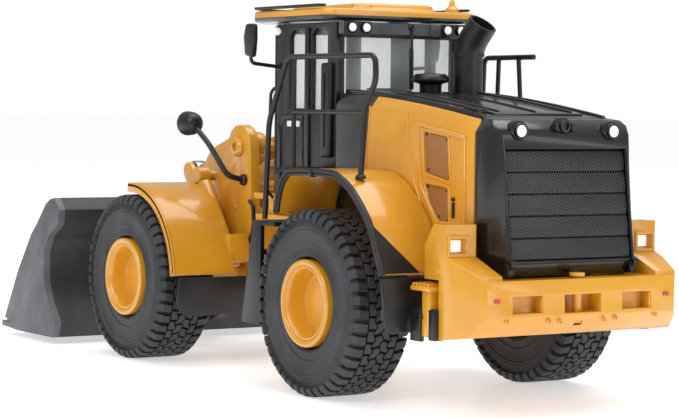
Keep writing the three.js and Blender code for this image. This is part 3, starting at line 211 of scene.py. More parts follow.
def plate(name, outline, axis, span):
    """A flat outline, extruded along an axis from span[0] to span[1]."""
    at = AXES[axis]
    piece = loop(name, [at(a, b, span[0]) for a, b in outline], "NGON")
    push = at(0, 0, span[1]) - at(0, 0, span[0])
    with Editing(piece) as edit:
        edit.all()
        bpy.ops.mesh.extrude_region_move(TRANSFORM_OT_translate={"value": push})
        edit.all()
        bpy.ops.mesh.normals_make_consistent(inside=False)
    return piece


def turned(name, profile, centre, axis, steps=48):
    """A turned piece: [radius, distance along the axis] points, spun about the axis through centre."""
    along = Vector(axis).normalized()
    across = along.orthogonal().normalized()
    origin = place(*centre)
    points = [origin + across * (r * MM) + along * (h * MM) for r, h in profile]
    piece = loop(name, points)
    with Editing(piece, "EDGE") as edit:
        edit.all()
        bpy.ops.mesh.spin(steps=steps, angle=TURN, center=origin, axis=along)
    mend(piece)
    return piece


def tube(name, points, radius, bend=1.4, sides=3):
    """A bent tube through the points, with its corners rounded."""
    piece = loop(name, [place(*point) for point in points])
    first, last = 0, len(points) - 1
    with Editing(piece, "EDGE") as edit:
        ends = {first, last}
        edit.pick(lambda edge: {vertex.index for vertex in edge.verts} == ends)
        bpy.ops.mesh.delete(type="EDGE")
    with Editing(piece, "VERT") as edit:
        edit.pick(lambda vertex: len(vertex.link_edges) == 2)
        bpy.ops.mesh.bevel(offset=bend * MM, segments=6, affect="VERTICES", clamp_overlap=True)
    only(piece)
    bpy.ops.object.convert(target="CURVE")
    piece = bpy.context.object
    piece.data.bevel_depth = radius * MM
    piece.data.bevel_resolution = sides
    piece.data.use_fill_caps = True
    bpy.ops.object.convert(target="MESH")
    piece = named(name)
    mend(piece)
    return piece


def cut(piece, *tools):
    for tool in tools:
        modify(piece, "BOOLEAN", operation="DIFFERENCE", object=tool, solver="EXACT")
        bpy.data.objects.remove(tool)
    return piece


def fuse(name, *pieces):
    """Joins pieces that are one moulding, without cutting their shared faces away."""
    only(*pieces)
    bpy.ops.object.join()
    return named(name)


def twin(piece, name):
    """A copy with its own mesh."""
    copy = piece.copy()
    copy.data = piece.data.copy()
    copy.name = copy.data.name = name
    bpy.context.scene.collection.objects.link(copy)
    return copy


def mirror(piece, name):
    """The copy on the machine's other side."""
    copy = twin(piece, name)
    copy.data.transform(Matrix.Diagonal((-1, 1, 1, 1)))
    with Editing(copy) as edit:
        edit.all()
        bpy.ops.mesh.flip_normals()
    return copy


def shift(piece, x=0, y=0, z=0, half_turn=False):
    """Moves a piece within its mesh, after a half turn about the vertical if asked."""
    if half_turn:
        piece.data.transform(Matrix.Rotation(math.pi, 4, "Z"))
    piece.data.transform(Matrix.Translation(Vector((x, y, z)) * MM))
    return piece


def casting(node, finish, width=0.25, segments=2, angle=40):
    """A CAD node's own shape with its edges rounded as a casting's are."""
    source = frame["nodes"][node]
    piece = twin(source, node + "_casting")
    for key in list(piece.keys()):
        del piece[key]
    piece.parent = None
    piece.matrix_world = Matrix.Identity(4)
    with Editing(piece) as edit:
        edit.all()
        bpy.ops.mesh.remove_doubles(threshold=1e-6)
        bpy.ops.mesh.dissolve_limited(angle_limit=math.radians(0.6))
    piece.data.materials.clear()
    if width:
        bevel(piece, width, segments, angle)
    return finish_piece(piece, source["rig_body"], finish, (node,))


def spline(t, a, b, c, d):
    """The place t of the way from b to c, on the smooth curve through a, b, c and d."""
    squared = 2 * a - 5 * b + 4 * c - d
    cubed = 3 * b - a - 3 * c + d
    return 0.5 * (2 * b + (c - a) * t + squared * t**2 + cubed * t**3)


def bend_line(points, steps=4):
    """A smooth line through the points."""
    line = []
    for i in range(len(points) - 1):
        p0, p1 = points[max(i - 1, 0)], points[i]
        p2, p3 = points[i + 1], points[min(i + 2, len(points) - 1)]
        for step in range(steps):
            line.append(tuple(spline(step / steps, *values) for values in zip(p0, p1, p2, p3)))
    return [*line, tuple(points[-1])]


def beside(line, distance):
    """The line moved sideways, towards the left of its direction."""
    moved = []
    for i, (a, b) in enumerate(line):
        a0, b0 = line[max(i - 1, 0)]
        a1, b1 = line[min(i + 1, len(line) - 1)]
        size = math.hypot(a1 - a0, b1 - b0)
        moved.append((a - (b1 - b0) / size * distance, b + (a1 - a0) / size * distance))
    return moved


def strip(name, line, out, inside, x):
    """A band along a side line, from `out` on its left to `inside` on its right, across x."""
    return plate(name, [*beside(line, out), *reversed(beside(line, -inside))], "x", x)


# ---- finishes ----
def linear(code):
    """A colour written as a web code, in linear light."""
    parts = [int(code[i : i + 2], 16) / 255 for i in (0, 2, 4)]
    return [*(part / 12.92 if part <= 0.04045 else ((part + 0.055) / 1.055) ** 2.4 for part in parts), 1.0]


MIX_LOW, MIX_HIGH, MIX_COLOUR = 6, 7, 2  # the colour sockets of a Mix node


class Wire:
    """A socket in a finish. Arithmetic on it adds Math nodes."""

    def __init__(self, finish, socket):
        self.finish, self.socket = finish, socket

    def math(self, operation, *values):
        return self.finish.node("ShaderNodeMath", {"operation": operation}, dict(enumerate(values)))

    def __add__(self, other):
        return self.math("ADD", self, other)

    def __sub__(self, other):
        return self.math("SUBTRACT", self, other)

    def __rsub__(self, other):
        return self.math("SUBTRACT", other, self)

    def __mul__(self, other):
        return self.math("MULTIPLY", self, other)

    def __truediv__(self, other):
        return self.math("DIVIDE", self, other)

    def __mod__(self, other):
        return self.math("FLOORED_MODULO", self, other)

    def __pow__(self, other):
        return self.math("POWER", self, other)

    def __abs__(self):
        return self.math("ABSOLUTE", self)

    __radd__, __rmul__ = __add__, __mul__

    def least(self, other):
        return self.math("MINIMUM", self, other)

    def step(self, low, high):
        """0 below low and 1 above high, with a soft change between."""
        settings = {"interpolation_type": "SMOOTHSTEP"}
        return self.finish.node("ShaderNodeMapRange", settings, {"Value": self, 1: low, 2: high})


class Finish:
    """A material on the shared frame's coordinates."""

    def __init__(self, name, **values):
        self.material = bpy.data.materials.new(name)
        self.material.use_nodes = True
        self.tree = self.material.node_tree
        self.shader = self.tree.nodes["Principled BSDF"]
        self.set(**values)

    def node(self, kind, settings=None, inputs=None, output=0):
        """A node with its settings, then its sockets' values or links."""
        made = self.tree.nodes.new(kind)
        for key, value in (settings or {}).items():
            setattr(made, key, value)
        for key, value in (inputs or {}).items():
            self.put(made.inputs[key], value)
        return Wire(self, made.outputs[output])

    def put(self, socket, value):
        if isinstance(value, Wire):
            self.tree.links.new(value.socket, socket)
        else:
            socket.default_value = value

    def set(self, **values):
        """Sets the shader's sockets: base_color=... is Base Color."""
        for key, value in values.items():
            self.put(self.shader.inputs[key.replace("_", " ").title().replace("Ior", "IOR")], value)

    def coords(self):
        return self.node("ShaderNodeTexCoord", output="Object")

    def axes(self):
        """The x, y and z of a place, in millimetres of the machine's frame."""
        split = self.node("ShaderNodeSeparateXYZ", inputs={0: self.coords()})
        x, y, z = (Wire(self, split.socket.node.outputs[i]) for i in range(3))
        return x * 1000, y * 1000 - HINGE_Y, z * 1000

    def noise(self, size_mm, detail=3, rough=0.5):
        inputs = {"Vector": self.coords(), "Scale": 1000 / size_mm, "Detail": detail, "Roughness": rough}
        return self.node("ShaderNodeTexNoise", inputs=inputs, output="Fac")

    def mix(self, amount, low, high):
        made = self.node("ShaderNodeMix", {"data_type": "RGBA"}, {"Factor": amount}).socket.node
        self.put(made.inputs[MIX_LOW], low)
        self.put(made.inputs[MIX_HIGH], high)
        return Wire(self, made.outputs[MIX_COLOUR])

    def relief(self, height, strength=1.0, depth_mm=0.1):
        """Bump of a height from 0 to 1 that stands depth_mm tall."""
        inputs = {"Height": height, "Strength": strength, "Distance": depth_mm * MM}
        self.set(normal=self.node("ShaderNodeBump", inputs=inputs))


YELLOW_ENAMEL = ("DF9F26", "D6941F")  # its lighter and its darker shade
# The black of the painted shade on the hood and roof enamel.
PAINTED_SHADE_BLACK = "15161A"
# Below this height the roof is painted black: painted shade under its edge.
ROOF_SHADE_Z = 66.1
HOOD_EDGE_Y, HOOD_EDGE_LEAN = 27, 0.127  # where the hood panel's front edge meets z = 0, and its lean


def hood_gap_painted_shade(axes):
    """Painted shade: the hood shell painted black between the cab and the hood's side panels, standing in
    for the shaded gap there.
    """
    _, y, z = axes
    return (z * HOOD_EDGE_LEAN + HOOD_EDGE_Y - y).step(-0.03, 0.03)


def roof_edge_painted_shade(axes):
    """Painted shade: a black band round the roof's lower edge, standing in for shade under the roof."""
    return (axes[2] * -1 + ROOF_SHADE_Z).step(-0.03, 0.03)


def paint_finish(name, code, shade, roughness=0.3, coat=0.6, painted_shade_mask=None):
    """Glossy enamel: a slow drift of colour, orange peel and a clear coat.

    The mask argument takes the axes of a place and gives 1 where the piece gets black painted shade.
    """
    finish = Finish(name, coat_roughness=0.12)
    drift = finish.noise(22, 2).step(0.35, 0.65)
    colour = finish.mix(drift, linear(shade), linear(code))
    # Painted shade: black laid over the enamel where the mask gives 1.
    if painted_shade_mask:
        colour = finish.mix(painted_shade_mask(finish.axes()), colour, linear(PAINTED_SHADE_BLACK))
    finish.set(base_color=colour)
    finish.set(roughness=finish.noise(3.5, 4) * 0.1 + (roughness - 0.05))
    finish.set(coat_weight=finish.noise(9, 2) * 0.2 + (coat - 0.1))
    finish.relief(finish.noise(0.7, 2), 0.25, 0.012)
    return finish


def plastic_finish(name, code, roughness=0.35, grain_mm=0.35, grain=0.3, dust=0.06):
    """Moulded plastic: a fine grain and a breath of dust."""
    finish = Finish(name)
    base = linear(code)
    dusty = [part + (0.35 - part) * 0.35 for part in base[:3]] + [1.0]
    specks = finish.noise(1.1, 6, 0.7).step(0.56, 0.72)
    finish.set(base_color=finish.mix(specks * dust, base, dusty))
    finish.set(roughness=finish.noise(2.4, 4) * 0.14 + (roughness - 0.07))
    finish.relief(finish.noise(grain_mm, 3), grain, 0.02)
    return finish


def metal_finish(name, code, roughness, metallic=1.0):
    finish = Finish(name, metallic=metallic)
    streak = finish.noise(0.9, 6, 0.75)
    dark = [part * 0.72 for part in linear(code)[:3]] + [1.0]
    finish.set(base_color=finish.mix(streak.step(0.3, 0.75), dark, linear(code)))
    finish.set(roughness=streak * 0.2 + (roughness - 0.1))
    finish.relief(streak, 0.25, 0.01)
    return finish


yellow = paint_finish("yellow_enamel", *YELLOW_ENAMEL)
black = plastic_finish("satin_black", "131416", 0.38)
gloss_black = plastic_finish("gloss_black", "0E0F11", 0.24, 0.8, 0.12)
gloss_black.set(coat_weight=0.35)
trim_rubber = plastic_finish("trim_rubber", "1B1C1E", 0.5, 0.25, 0.4)
header_grey = plastic_finish("header_grey", "4C4D52", 0.4)
seat_black = plastic_finish("seat_moulding", "202124", 0.6, 0.3, 0.8)
steel = metal_finish("polished_steel", "B9BABC", 0.25)
chrome = metal_finish("chrome", "D9DADC", 0.14)
white_plastic = plastic_finish("white_plastic", "E9E9E6", 0.3, dust=0.02)


def rubber_finish():
    """Tyre rubber, greyer where mould release stays on the smooth wall."""
    finish = Finish("tyre_rubber")
    bloom = finish.noise(6, 4, 0.6).step(0.3, 0.75)
    finish.set(base_color=finish.mix(bloom, linear("2B2D30"), linear("3C3F43")))
    finish.set(roughness=finish.noise(1.6, 5) * 0.2 + 0.5)
    finish.relief(finish.noise(0.3, 4), 0.35, 0.025)
    return finish


BUCKET_END_X = 27.9


def bucket_finish():
    """Cast grey with rubbed places. The inside is darker than the two end plates: painted shade."""
    finish = Finish("bucket_grey", metallic=0.25)
    rub = finish.noise(7, 6, 0.65).step(0.3, 0.85)
    # Painted shade: darker greys for the inside, lighter ones for the end plates.
    inside = finish.mix(rub, linear("303135"), linear("46474B"))
    ends = finish.mix(rub, linear("5C5D61"), linear("737478"))
    outside_painted_shade = abs(finish.axes()[0]).step(BUCKET_END_X - 0.05, BUCKET_END_X)
    finish.set(base_color=finish.mix(outside_painted_shade, inside, ends))
    finish.set(roughness=finish.noise(1.5, 5) * 0.2 + 0.36)
    finish.relief(finish.noise(0.6, 5), 0.35, 0.03)
    return finish


def lattice(a, b, pitch, width):
    """1 on a line lattice of that pitch along a - b and a + b."""
    first = abs((a + b) % pitch - pitch / 2)
    second = abs((a - b) % pitch - pitch / 2)
    return 1 - first.least(second).step(width * 0.5, width)


def mesh_finish():
    """Expanded metal: coppery strands round dark diamonds."""
    finish = Finish("expanded_metal", metallic=0.2, roughness=0.45)
    _, y, z = finish.axes()
    strand = lattice(y * 1.35, z, 0.62, 0.16)
    finish.set(base_color=finish.mix(strand, linear("5A3A22"), linear("C98F4E")))
    finish.relief(strand, 0.8, 0.15)
    return finish


def grille_finish():
    """A black plate with rows of round holes, each row half a pitch along."""
    finish = Finish("perforated_black", roughness=0.35, metallic=0.3)
    x, _, z = finish.axes()
    pitch, radius = 0.54, 0.17
    row = pitch * 0.5
    near = None
    for offset in (0, 1):
        a = (x + offset * pitch / 2) % pitch - pitch / 2
        b = (z + offset * row) % (2 * row) - row
        distance = (a * a + b * b) ** 0.5
        near = distance if near is None else near.least(distance)
    rim = near.step(radius * 0.8, radius * 1.2)
    finish.set(base_color=finish.mix(rim, linear("08080A"), linear("5C5D61")))
    finish.relief(rim, 1.0, 0.12)
    return finish


def glass_finish():
    finish = Finish("cab_glass", roughness=0.06, coat_weight=0.6, ior=1.45)
    # Painted reflection: whitish blotches in the base colour, seen through the low alpha, stand in for the
    # glass's white reflections.
    painted_reflection = finish.noise(14, 3).step(0.4, 0.75)
    finish.set(base_color=finish.mix(painted_reflection, linear("C4D0D4"), linear("EDF3F5")))
    finish.set(alpha=painted_reflection * 0.1 + 0.14)
    return finish


def lens_finish(name, code, painted_glow):
    finish = Finish(name, roughness=0.12, coat_weight=0.8)
    ring = finish.noise(0.5, 2).step(0.3, 0.7)
    pale = linear(code)
    finish.set(base_color=finish.mix(ring, [part * 0.85 for part in pale[:3]] + [1.0], pale))
    # Painted light: the lenses glow a little, though the toy's lamps and reflectors give no light.
    finish.set(emission_color=pale, emission_strength=painted_glow)
    return finish


# Hood and roof enamel with black painted shade: the gap ahead of the hood's side panels and the shade
# under the roof's edge.
yellow_hood = paint_finish("yellow_hood", *YELLOW_ENAMEL, painted_shade_mask=hood_gap_painted_shade)
yellow_roof = paint_finish("yellow_roof", *YELLOW_ENAMEL, painted_shade_mask=roof_edge_painted_shade)
rubber = rubber_finish()
bucket_grey = bucket_finish()
expanded = mesh_finish()
perforated = grille_finish()
glass = glass_finish()
# Lens finishes with a painted glow: white for the lamps, red for the reflectors.
white_lens = lens_finish("white_lens", "F7F7F4", 0.5)
red_lens = lens_finish("red_lens", "C0121C", 0.05)


# ---- wheels ----
TREAD_R = 16.1
BASE_R = 15.25
SHOULDER_R = 14.3
LUGS = 44
ROWS = 6  # steps of a lug's pitch, of which the first one or two are the gap
COLUMN_EDGES = (3.2, 2.92, 1.68, 1.42, 0.14)  # where the tread's blocks end, from the middle plane


def tyre_profile():
    """Half of the section as [radius, x], from the bead out to the middle of the tread's floor."""
    wall = [
        (7.85, 4.7),
        (8.1, 5.15),
        (8.5, 5.3),
        (8.9, 5.1),
        (9.7, 5.08),
        (9.95, 5.26),
        (10.15, 5.2),
        (11.2, 5.36),
        (12.2, 5.44),
        (12.4, 5.62),
        (12.65, 5.62),
        (12.8, 5.46),
        (13.0, 5.6),
        (13.25, 5.58),
        (13.4, 5.42),
        (SHOULDER_R, 5.1),
        (14.9, 4.95),
    ]
    floor = [(BASE_R, x) for x in (4.62, *COLUMN_EDGES)]
    return [*wall, *floor]


def tyre():
    """A tyre about the x axis at the origin of the machine's frame."""
    half = tyre_profile()
    section = [*half, *((r, -x) for r, x in reversed(half))]
    piece = turned("tyre", section, (0, 0, 0), (1, 0, 0), steps=LUGS * ROWS)
    origin = place(0, 0, 0)
    pitch = TURN / LUGS

    def where(co):
        out = co - origin
        return out.x / MM, math.hypot(out.y, out.z) / MM, math.atan2(out.z, out.y) % TURN

    def in_lug(face):
        x, r, turn = where(face.calc_center_median())
        if r < SHOULDER_R - 0.05:
            return False
        width = abs(x)
        in_middle = COLUMN_EDGES[2] < width < COLUMN_EDGES[1]
        late = 0.5 if in_middle != (x < 0) else 0.0
        row = int(((turn / pitch + late) % 1) * ROWS)
        if width > COLUMN_EDGES[0]:
            return row > 1
        return row > 0 and (in_middle or COLUMN_EDGES[4] < width < COLUMN_EDGES[3])

    with Editing(piece) as edit:
        edit.pick(in_lug)
        height = {"value": (TREAD_R - BASE_R) * MM}
        bpy.ops.mesh.extrude_region_shrink_fatten(TRANSFORM_OT_shrink_fatten=height)

    def zigzag(co):
        x, r, turn = where(co)
        if r < SHOULDER_R + 0.3:
            return co
        across = x if abs(x) < 4 else math.copysign(4, x)
        wave = abs((across / 2.2) % 2 - 1) - 0.5
        turn += wave * pitch * 0.28
        if abs(x) < 2.7:
            x += 0.28 * math.sin(turn * LUGS)
        r = min(r, TREAD_R)
        return origin + Vector((x, r * math.cos(turn), r * math.sin(turn))) * MM

    with Editing(piece) as edit:
        edit.move(zigzag)
        edit.all()
        bpy.ops.mesh.normals_make_consistent(inside=False)
    bevel(piece, 0.07, 1, 50)
    return piece


def rim():
    """A left-hand rim about the x axis: a deep dish with a double lip."""
    profile = [
        (0, 2.2),
        (4.7, 2.2),
        (5.15, 2.4),
        (5.4, 2.9),
        (5.55, 4.0),
        (5.68, 5.0),
        (5.82, 5.5),
        (6.0, 5.72),
        (6.22, 5.72),
        (6.36, 5.56),
        (6.5, 5.58),
        (6.62, 5.86),
        (6.85, 6.04),
        (7.15, 6.08),
        (7.4, 6.0),
        (7.55, 5.8),
        (7.55, -5.0),
        (6.65, -5.0),
        (6.35, 0.4),
        (2.5, 0.4),
        (2.5, -0.6),
        (1.3, -0.6),
        (1.3, 1.5),
        (0, 1.5),
    ]
    return turned("rim", profile, (0, 0, 0), (1, 0, 0), steps=64)


def wheels():
    tyre_master, rim_master = tyre(), rim()
    for end, y, body in (("rear", REAR_AXLE_Y, "rear_wheels"), ("front", FRONT_AXLE_Y, "front_wheels")):
        for hand, sign in HANDS.items():
            for master, finish, slot in (
                (tyre_master, rubber, "tyre_rubber"),
                (rim_master, yellow, "yellow_paint"),
            ):
                node = f"{end}_{hand}_{master.name}"
                piece = twin(master, node + "_visual")
                shift(piece, 0, -HINGE_Y)
                shift(piece, sign * WHEEL_X, y + HINGE_Y, AXLE_Z, half_turn=sign < 0)
                finish_piece(piece, body, finish, (node,))
    bpy.data.objects.remove(tyre_master)
    bpy.data.objects.remove(rim_master)


wheels()

# ---- castings that keep their designed shape ----
for node_name, width in {
    "rear_frame": 0.3,
    "counterweight": 0.45,
    "front_frame": 0.35,
    "lift_arms": 0.3,
    "bell_crank": 0.2,
    "tilt_link": 0.2,
    "rear_axle_housing": 0.3,
    "front_axle_housing": 0.3,
    "tilt_barrel": 0.2,
    "left_lift_barrel": 0.2,
    "right_lift_barrel": 0.2,
}.items():
    casting(node_name, yellow, width)
for node_name, width in {
    "left_ladder": 0.15,
    "right_ladder": 0.15,
    "left_mudguard": 0.2,
    "right_mudguard": 0.2,
    "left_mudflap": 0.2,
    "right_mudflap": 0.2,
    "cab_frame": 0.35,
    "roof_rails": 0.15,
    "steering_console": 0.1,
    "air_precleaner": 0.2,
}.items():
    casting(node_name, black, width)
casting("hood_shell", yellow_hood, 0.5)
casting("cab_roof", yellow_roof, 0.6)
casting("hood_top", gloss_black, 0.3)
casting("rear_shroud", gloss_black, 0.6, 3)
casting("radiator_grille", perforated, 0.12)
casting("cab_seat", seat_black, 0.9, 3)
casting("rear_lamp_header", header_grey, 0.15)
casting("bucket", bucket_grey, 0.25)
casting("left_vent_screen", expanded, 0)
casting("right_vent_screen", expanded, 0)
casting("cab_glazing", glass, 0)
for node_name in (
    "steering_pin",
    "rear_axle_shaft",
    "front_axle_shaft",
    "tilt_rod",
    "left_lift_rod",
    "right_lift_rod",
):
    casting(node_name, steel, 0.1)
casting("tow_pin", yellow, 0.1)


# ---- making pieces in pairs ----
def both(name, make, body, finish, nodes=()):
    """Makes the left piece, mirrors it, and lets each stand for its own side's nodes."""
    left = make("left_" + name)
    right = mirror(left, "right_" + name)
    for hand, piece in (("left", left), ("right", right)):
        finish_piece(piece, body, finish, [f"{hand}_{node}" for node in nodes])


def trim(name, make, body, finish, nodes=()):
    finish_piece(make(name), body, finish, nodes)


def rounded(piece, width, segments=2):
    bevel(piece, width, segments)
    return piece


def ring_plate(name, outer, inner, axis, span, width=0.12):
    """A flat frame: an outline with a smaller one cut out of it."""
    low, high = span
    hole = plate("tool", inner, axis, (low - 1, high + 1))
    return rounded(cut(plate(name, outer, axis, span), hole), width, 1)


def screw(name, centre, axis, radius):
    """A domed screw head with a socket in it."""
    profile = [
        (0, -0.15),
        (radius, -0.15),
        (radius, radius * 0.3),
        (radius * 0.75, radius * 0.55),
        (radius * 0.45, radius * 0.6),
        (radius * 0.4, radius * 0.2),
        (0, radius * 0.2),
    ]
    return turned(name, profile, centre, axis, 20)


def group(name, pieces):
    return fuse(name, *pieces)


# ---- rear fenders: a rolled shell, its rubber edge and its dark rear corner ----
FENDER_LINE = [
    (21.9, 31.2),
    (23.2, 35.6),
    (25.4, 38.2),
    (28.5, 39.0),
    (39.8, 39.0),
    (43.6, 37.9),
    (47.2, 35.8),
    (51.9, 31.2),
    (54.4, 26.4),
    (56.2, 22.6),
]
FENDER_T = 1.0
FENDER_IN, FENDER_OUT = 15.1, 27.5
FENDER_CURVE = bend_line(FENDER_LINE)


def fender_shell(name):
    return rounded(strip(name, FENDER_CURVE, 0, FENDER_T, (FENDER_IN, FENDER_OUT - 0.3)), 0.3, 3)


def fender_edge(name):
    """A rubber moulding of two beads along the outer edge."""
    bead = strip("bead", FENDER_CURVE, 0.1, 0.62, (FENDER_OUT - 0.8, FENDER_OUT + 0.15))
    lip = strip("lip", FENDER_CURVE, -0.62, FENDER_T + 0.2, (FENDER_OUT - 0.6, FENDER_OUT - 0.05))
    return group(name, [rounded(bead, 0.22, 3), rounded(lip, 0.18, 3)])


def fender_edge_clip(name):
    return rounded(block(name, (FENDER_OUT - 0.8, FENDER_OUT + 0.3), (33.9, 34.7), (37.7, 39.25)), 0.15)


def fender_flare(name):
    """The dark patch over the fender's rear corner, cut along a slant."""
    line = [point for point in FENDER_CURVE if point[0] > 51.5]
    piece = strip(name, line, 0.3, 0.05, (FENDER_IN, FENDER_OUT))
    corner, low = place(FENDER_OUT, 52.2, 30.8), place(19.5, 56.2, 22.0)
    across = (low - corner).cross(Vector((0, 1, 0))).normalized()
    with Editing(piece) as edit:
        edit.all()
        bpy.ops.mesh.bisect(plane_co=corner, plane_no=across, use_fill=True, clear_inner=True)
    return rounded(piece, 0.12, 1)


both("rear_fender_shell", fender_shell, REAR, yellow, ["rear_fender"])
both("rear_fender_edge", fender_edge, REAR, trim_rubber)
both("rear_fender_edge_clip", fender_edge_clip, REAR, black)
both("rear_fender_flare", fender_flare, REAR, black)


# ---- front fenders ----
FRONT_FENDER_R, FRONT_FENDER_T = 18.4, 0.9


def front_fender(name):
    """A quarter shell over the tyre, with its lip and its bracket to the front frame."""
    line = [(-34.4, AXLE_Z + FRONT_FENDER_R)]
    for step in range(22):
        turn = math.radians(84 - 80 * step / 21)
        y, z = FRONT_FENDER_R * math.cos(turn), FRONT_FENDER_R * math.sin(turn)
        line.append((FRONT_AXLE_Y + y, AXLE_Z + z))
    shell = rounded(strip("shell", line, 0, FRONT_FENDER_T, (13.5, 26.9)), 0.25, 3)
    fold = rounded(strip("fold", line, 0, FRONT_FENDER_T + 0.9, (26.3, 26.9)), 0.2, 2)
    bracket = rounded(block("bracket", (9.9, 14.5), (-17.4, -15.9), (19.5, 25)), 0.2)
    return group(name, [shell, fold, bracket])


both("front_fender_shell", front_fender, FRONT, yellow, ["front_fender"])


# ---- rails, mirrors and lamps ----
def left_rail(name):
    rail = tube(
        "rail",
        [
            (25.4, 15.6, 29.7),
            (25.4, 16.8, 47),
            (25, 22.2, 58.3),
            (24.2, 48.6, 58.3),
            (24.2, 48.9, 54),
            (24.2, 45.4, 49.4),
            (24.2, 44.6, 37.6),
        ],
        0.5,
    )
    upright = tube("upright", [(24.6, 23.8, 58.3), (24.6, 23.8, 48), (24.6, 23.8, 37.4)], 0.43)
    cross = tube("cross", [(24.6, 23.8, 48.8), (24.4, 35, 48.8), (24.2, 45.4, 48.8)], 0.43)
    soles = [(24.2, 44.6, 37.9), (24.6, 23.8, 37.5)]
    feet = [screw("foot", sole, (0, 0, 1), 0.9) for sole in soles]
    return group(name, [rail, upright, cross, *feet])


def right_rail(name):
    top = 59.2
    rail = tube("rail", [(-22, 15.6, 39.3), (-22, 16.4, top), (-22, 31.6, top)], 0.5)
    legs = [
        tube("leg", [(-22, 21, top), (-22, 20.6, 50), (-22, 20.2, 39.3)], 0.43),
        tube("leg", [(-22, 27, top), (-22, 27.8, 50), (-22, 28.6, 39.3)], 0.43),
    ]
    return group(name, [rail, *legs])


trim("left_handrail_tubes", left_rail, REAR, black, ["left_handrail"])
trim("right_handrail_tubes", right_rail, REAR, black, ["right_handrail"])


def mirror_assembly(name):
    arm = tube("arm", [(14.1, 1.6, 57), (20.2, 1.6, 57.6), (20.6, 1.9, 60)], 0.35, 0.8)
    foot = rounded(block("foot", (13.8, 14.4), (0.9, 2.3), (56.3, 57.7)), 0.15)
    outline = [(0.5, 59), (3, 58.6), (3.6, 62), (3.4, 64.8), (0.8, 64.8), (0, 62.5)]
    shell = rounded(plate("shell", outline, "x", (19.9, 21.1)), 0.4, 3)
    return group(name, [arm, foot, shell])


def mirror_glass(name):
    outline = [(0.9, 59.5), (2.8, 59.2), (3.2, 62), (3.1, 64.2), (1.1, 64.2), (0.5, 62.4)]
    return rounded(plate(name, outline, "x", (19.8, 19.95)), 0.03, 1)


both("mirror_assembly", mirror_assembly, REAR, black, ["mirror"])
both("mirror_glass", mirror_glass, REAR, chrome)


HEADLAMP = (16, -28.3, 46.2)


def headlamp_body(name):
    sole = (9.9, -18.4, 35.4)
    arm = tube("arm", [sole, (13.4, -18.6, 36.2), (15.2, -23, 42.4), (16, -27.6, 46)], 0.55, 1.2)
    foot = screw("foot", sole, (1, 0, 0), 1.1)
    bowl = [
        (0, 2.3),
        (0.7, 2.25),
        (1.5, 1.8),
        (2.0, 1.0),
        (2.25, 0.2),
        (2.35, -0.9),
        (2.4, -1.7),
        (2.15, -1.7),
        (2.05, -1.2),
        (0, -1.2),
    ]
    return group(name, [arm, foot, turned("bowl", bowl, HEADLAMP, (0, 1, 0), 40)])


def headlamp_lens(name):
    profile = [(0, -1.75), (1.2, -1.65), (2.0, -1.35), (2.0, -1.15), (0, -1.15)]
    return turned(name, profile, HEADLAMP, (0, 1, 0), 40)


both("headlamp_body", headlamp_body, FRONT, black, ["headlamp"])
both("headlamp_lens", headlamp_lens, FRONT, white_lens)


# ---- exhaust stack and beacon ----
def stack_pipe(name):
    """A pipe with an elbow at its top, open at its end, with a collar at its foot."""
    foot, elbow, end = (-9.4, 28.5, 51.4), (-9.4, 28.5, 60.6), (-10.5, 31.4, 65.0)
    pipe = tube("pipe", [foot, elbow, end], 2.7, 2.2, 8)
    pipe = cut(pipe, tube("tool", [(-9.4, 28.5, 57), elbow, (-10.7, 31.9, 65.8)], 2.3, 2.2, 8))
    collar = turned("collar", [(2.6, 0), (3.3, 0), (3.3, 0.5), (3.0, 0.8), (2.6, 0.8)], foot, (0, 0, 1))
    band = turned("band", [(2.6, 7.6), (2.95, 7.6), (2.95, 8.5), (2.6, 8.5)], foot, (0, 0, 1))
    return group(name, [pipe, collar, band])


def beacon_cone(name):
    profile = [
        (0, 0),
        (1.3, 0),
        (1.3, 0.4),
        (0.95, 0.75),
        (0.6, 1.0),
        (0.5, 1.7),
        (0.3, 2.1),
        (0, 2.25),
    ]
    return turned(name, profile, (-13.6, 17.5, 67.6), (0, 0, 1), 32)


trim("exhaust_pipe", stack_pipe, REAR, black, ["exhaust_stack"])
trim("beacon_cone", beacon_cone, REAR, yellow, ["beacon"])


# ---- hood ----
HOOD_HW = 14.8
HOOD_FRONT_Y, HOOD_LENGTH = 22, 41.6
HOOD_FRONT_Z, HOOD_FALL = 52.6, 4.3
VENT_WINDOWS = (
    [(49.9, 38.9), (57, 37.6), (56.3, 45), (49.4, 45.8)],
    [(53.8, 30.9), (56.9, 30.6), (56.5, 36.5), (49.9, 37.1), (51.2, 33.8)],
)
VENT_PANEL = [(47.6, 47.4), (61.4, 45.2), (61.6, 30.2), (53.3, 30.0), (48.0, 36.6)]


def hood_top_z(y):
    """The hood's top falls from its front end's height, ever more steeply."""
    along = (y - HOOD_FRONT_Y) / HOOD_LENGTH
    return HOOD_FRONT_Z - HOOD_FALL * max(along, 0) ** 1.6


def hood_line(start, end, steps=10):
    places = [start + (end - start) * step / steps for step in range(steps + 1)]
    return [(y, hood_top_z(y)) for y in places]


def grown(outline, by):
    """The outline with each corner moved away from its middle."""
    middle = [sum(values) / len(outline) for values in zip(*outline)]
    corners = []
    for a, b in outline:
        reach = math.hypot(a - middle[0], b - middle[1])
        corners.append(tuple(m + (v - m) * (reach + by) / reach for m, v in zip(middle, (a, b))))
    return corners


def vent_frames(name):
    high, low = (HOOD_HW - 0.1, HOOD_HW + 0.26), (HOOD_HW - 0.1, HOOD_HW + 0.16)
    border = ring_plate("border", VENT_PANEL, grown(VENT_PANEL, -1.0), "x", high)
    frames = [
        ring_plate("frame", grown(outline, 0.75), grown(outline, -0.05), "x", low, 0.07)
        for outline in VENT_WINDOWS
    ]
    return group(name, [border, *frames])


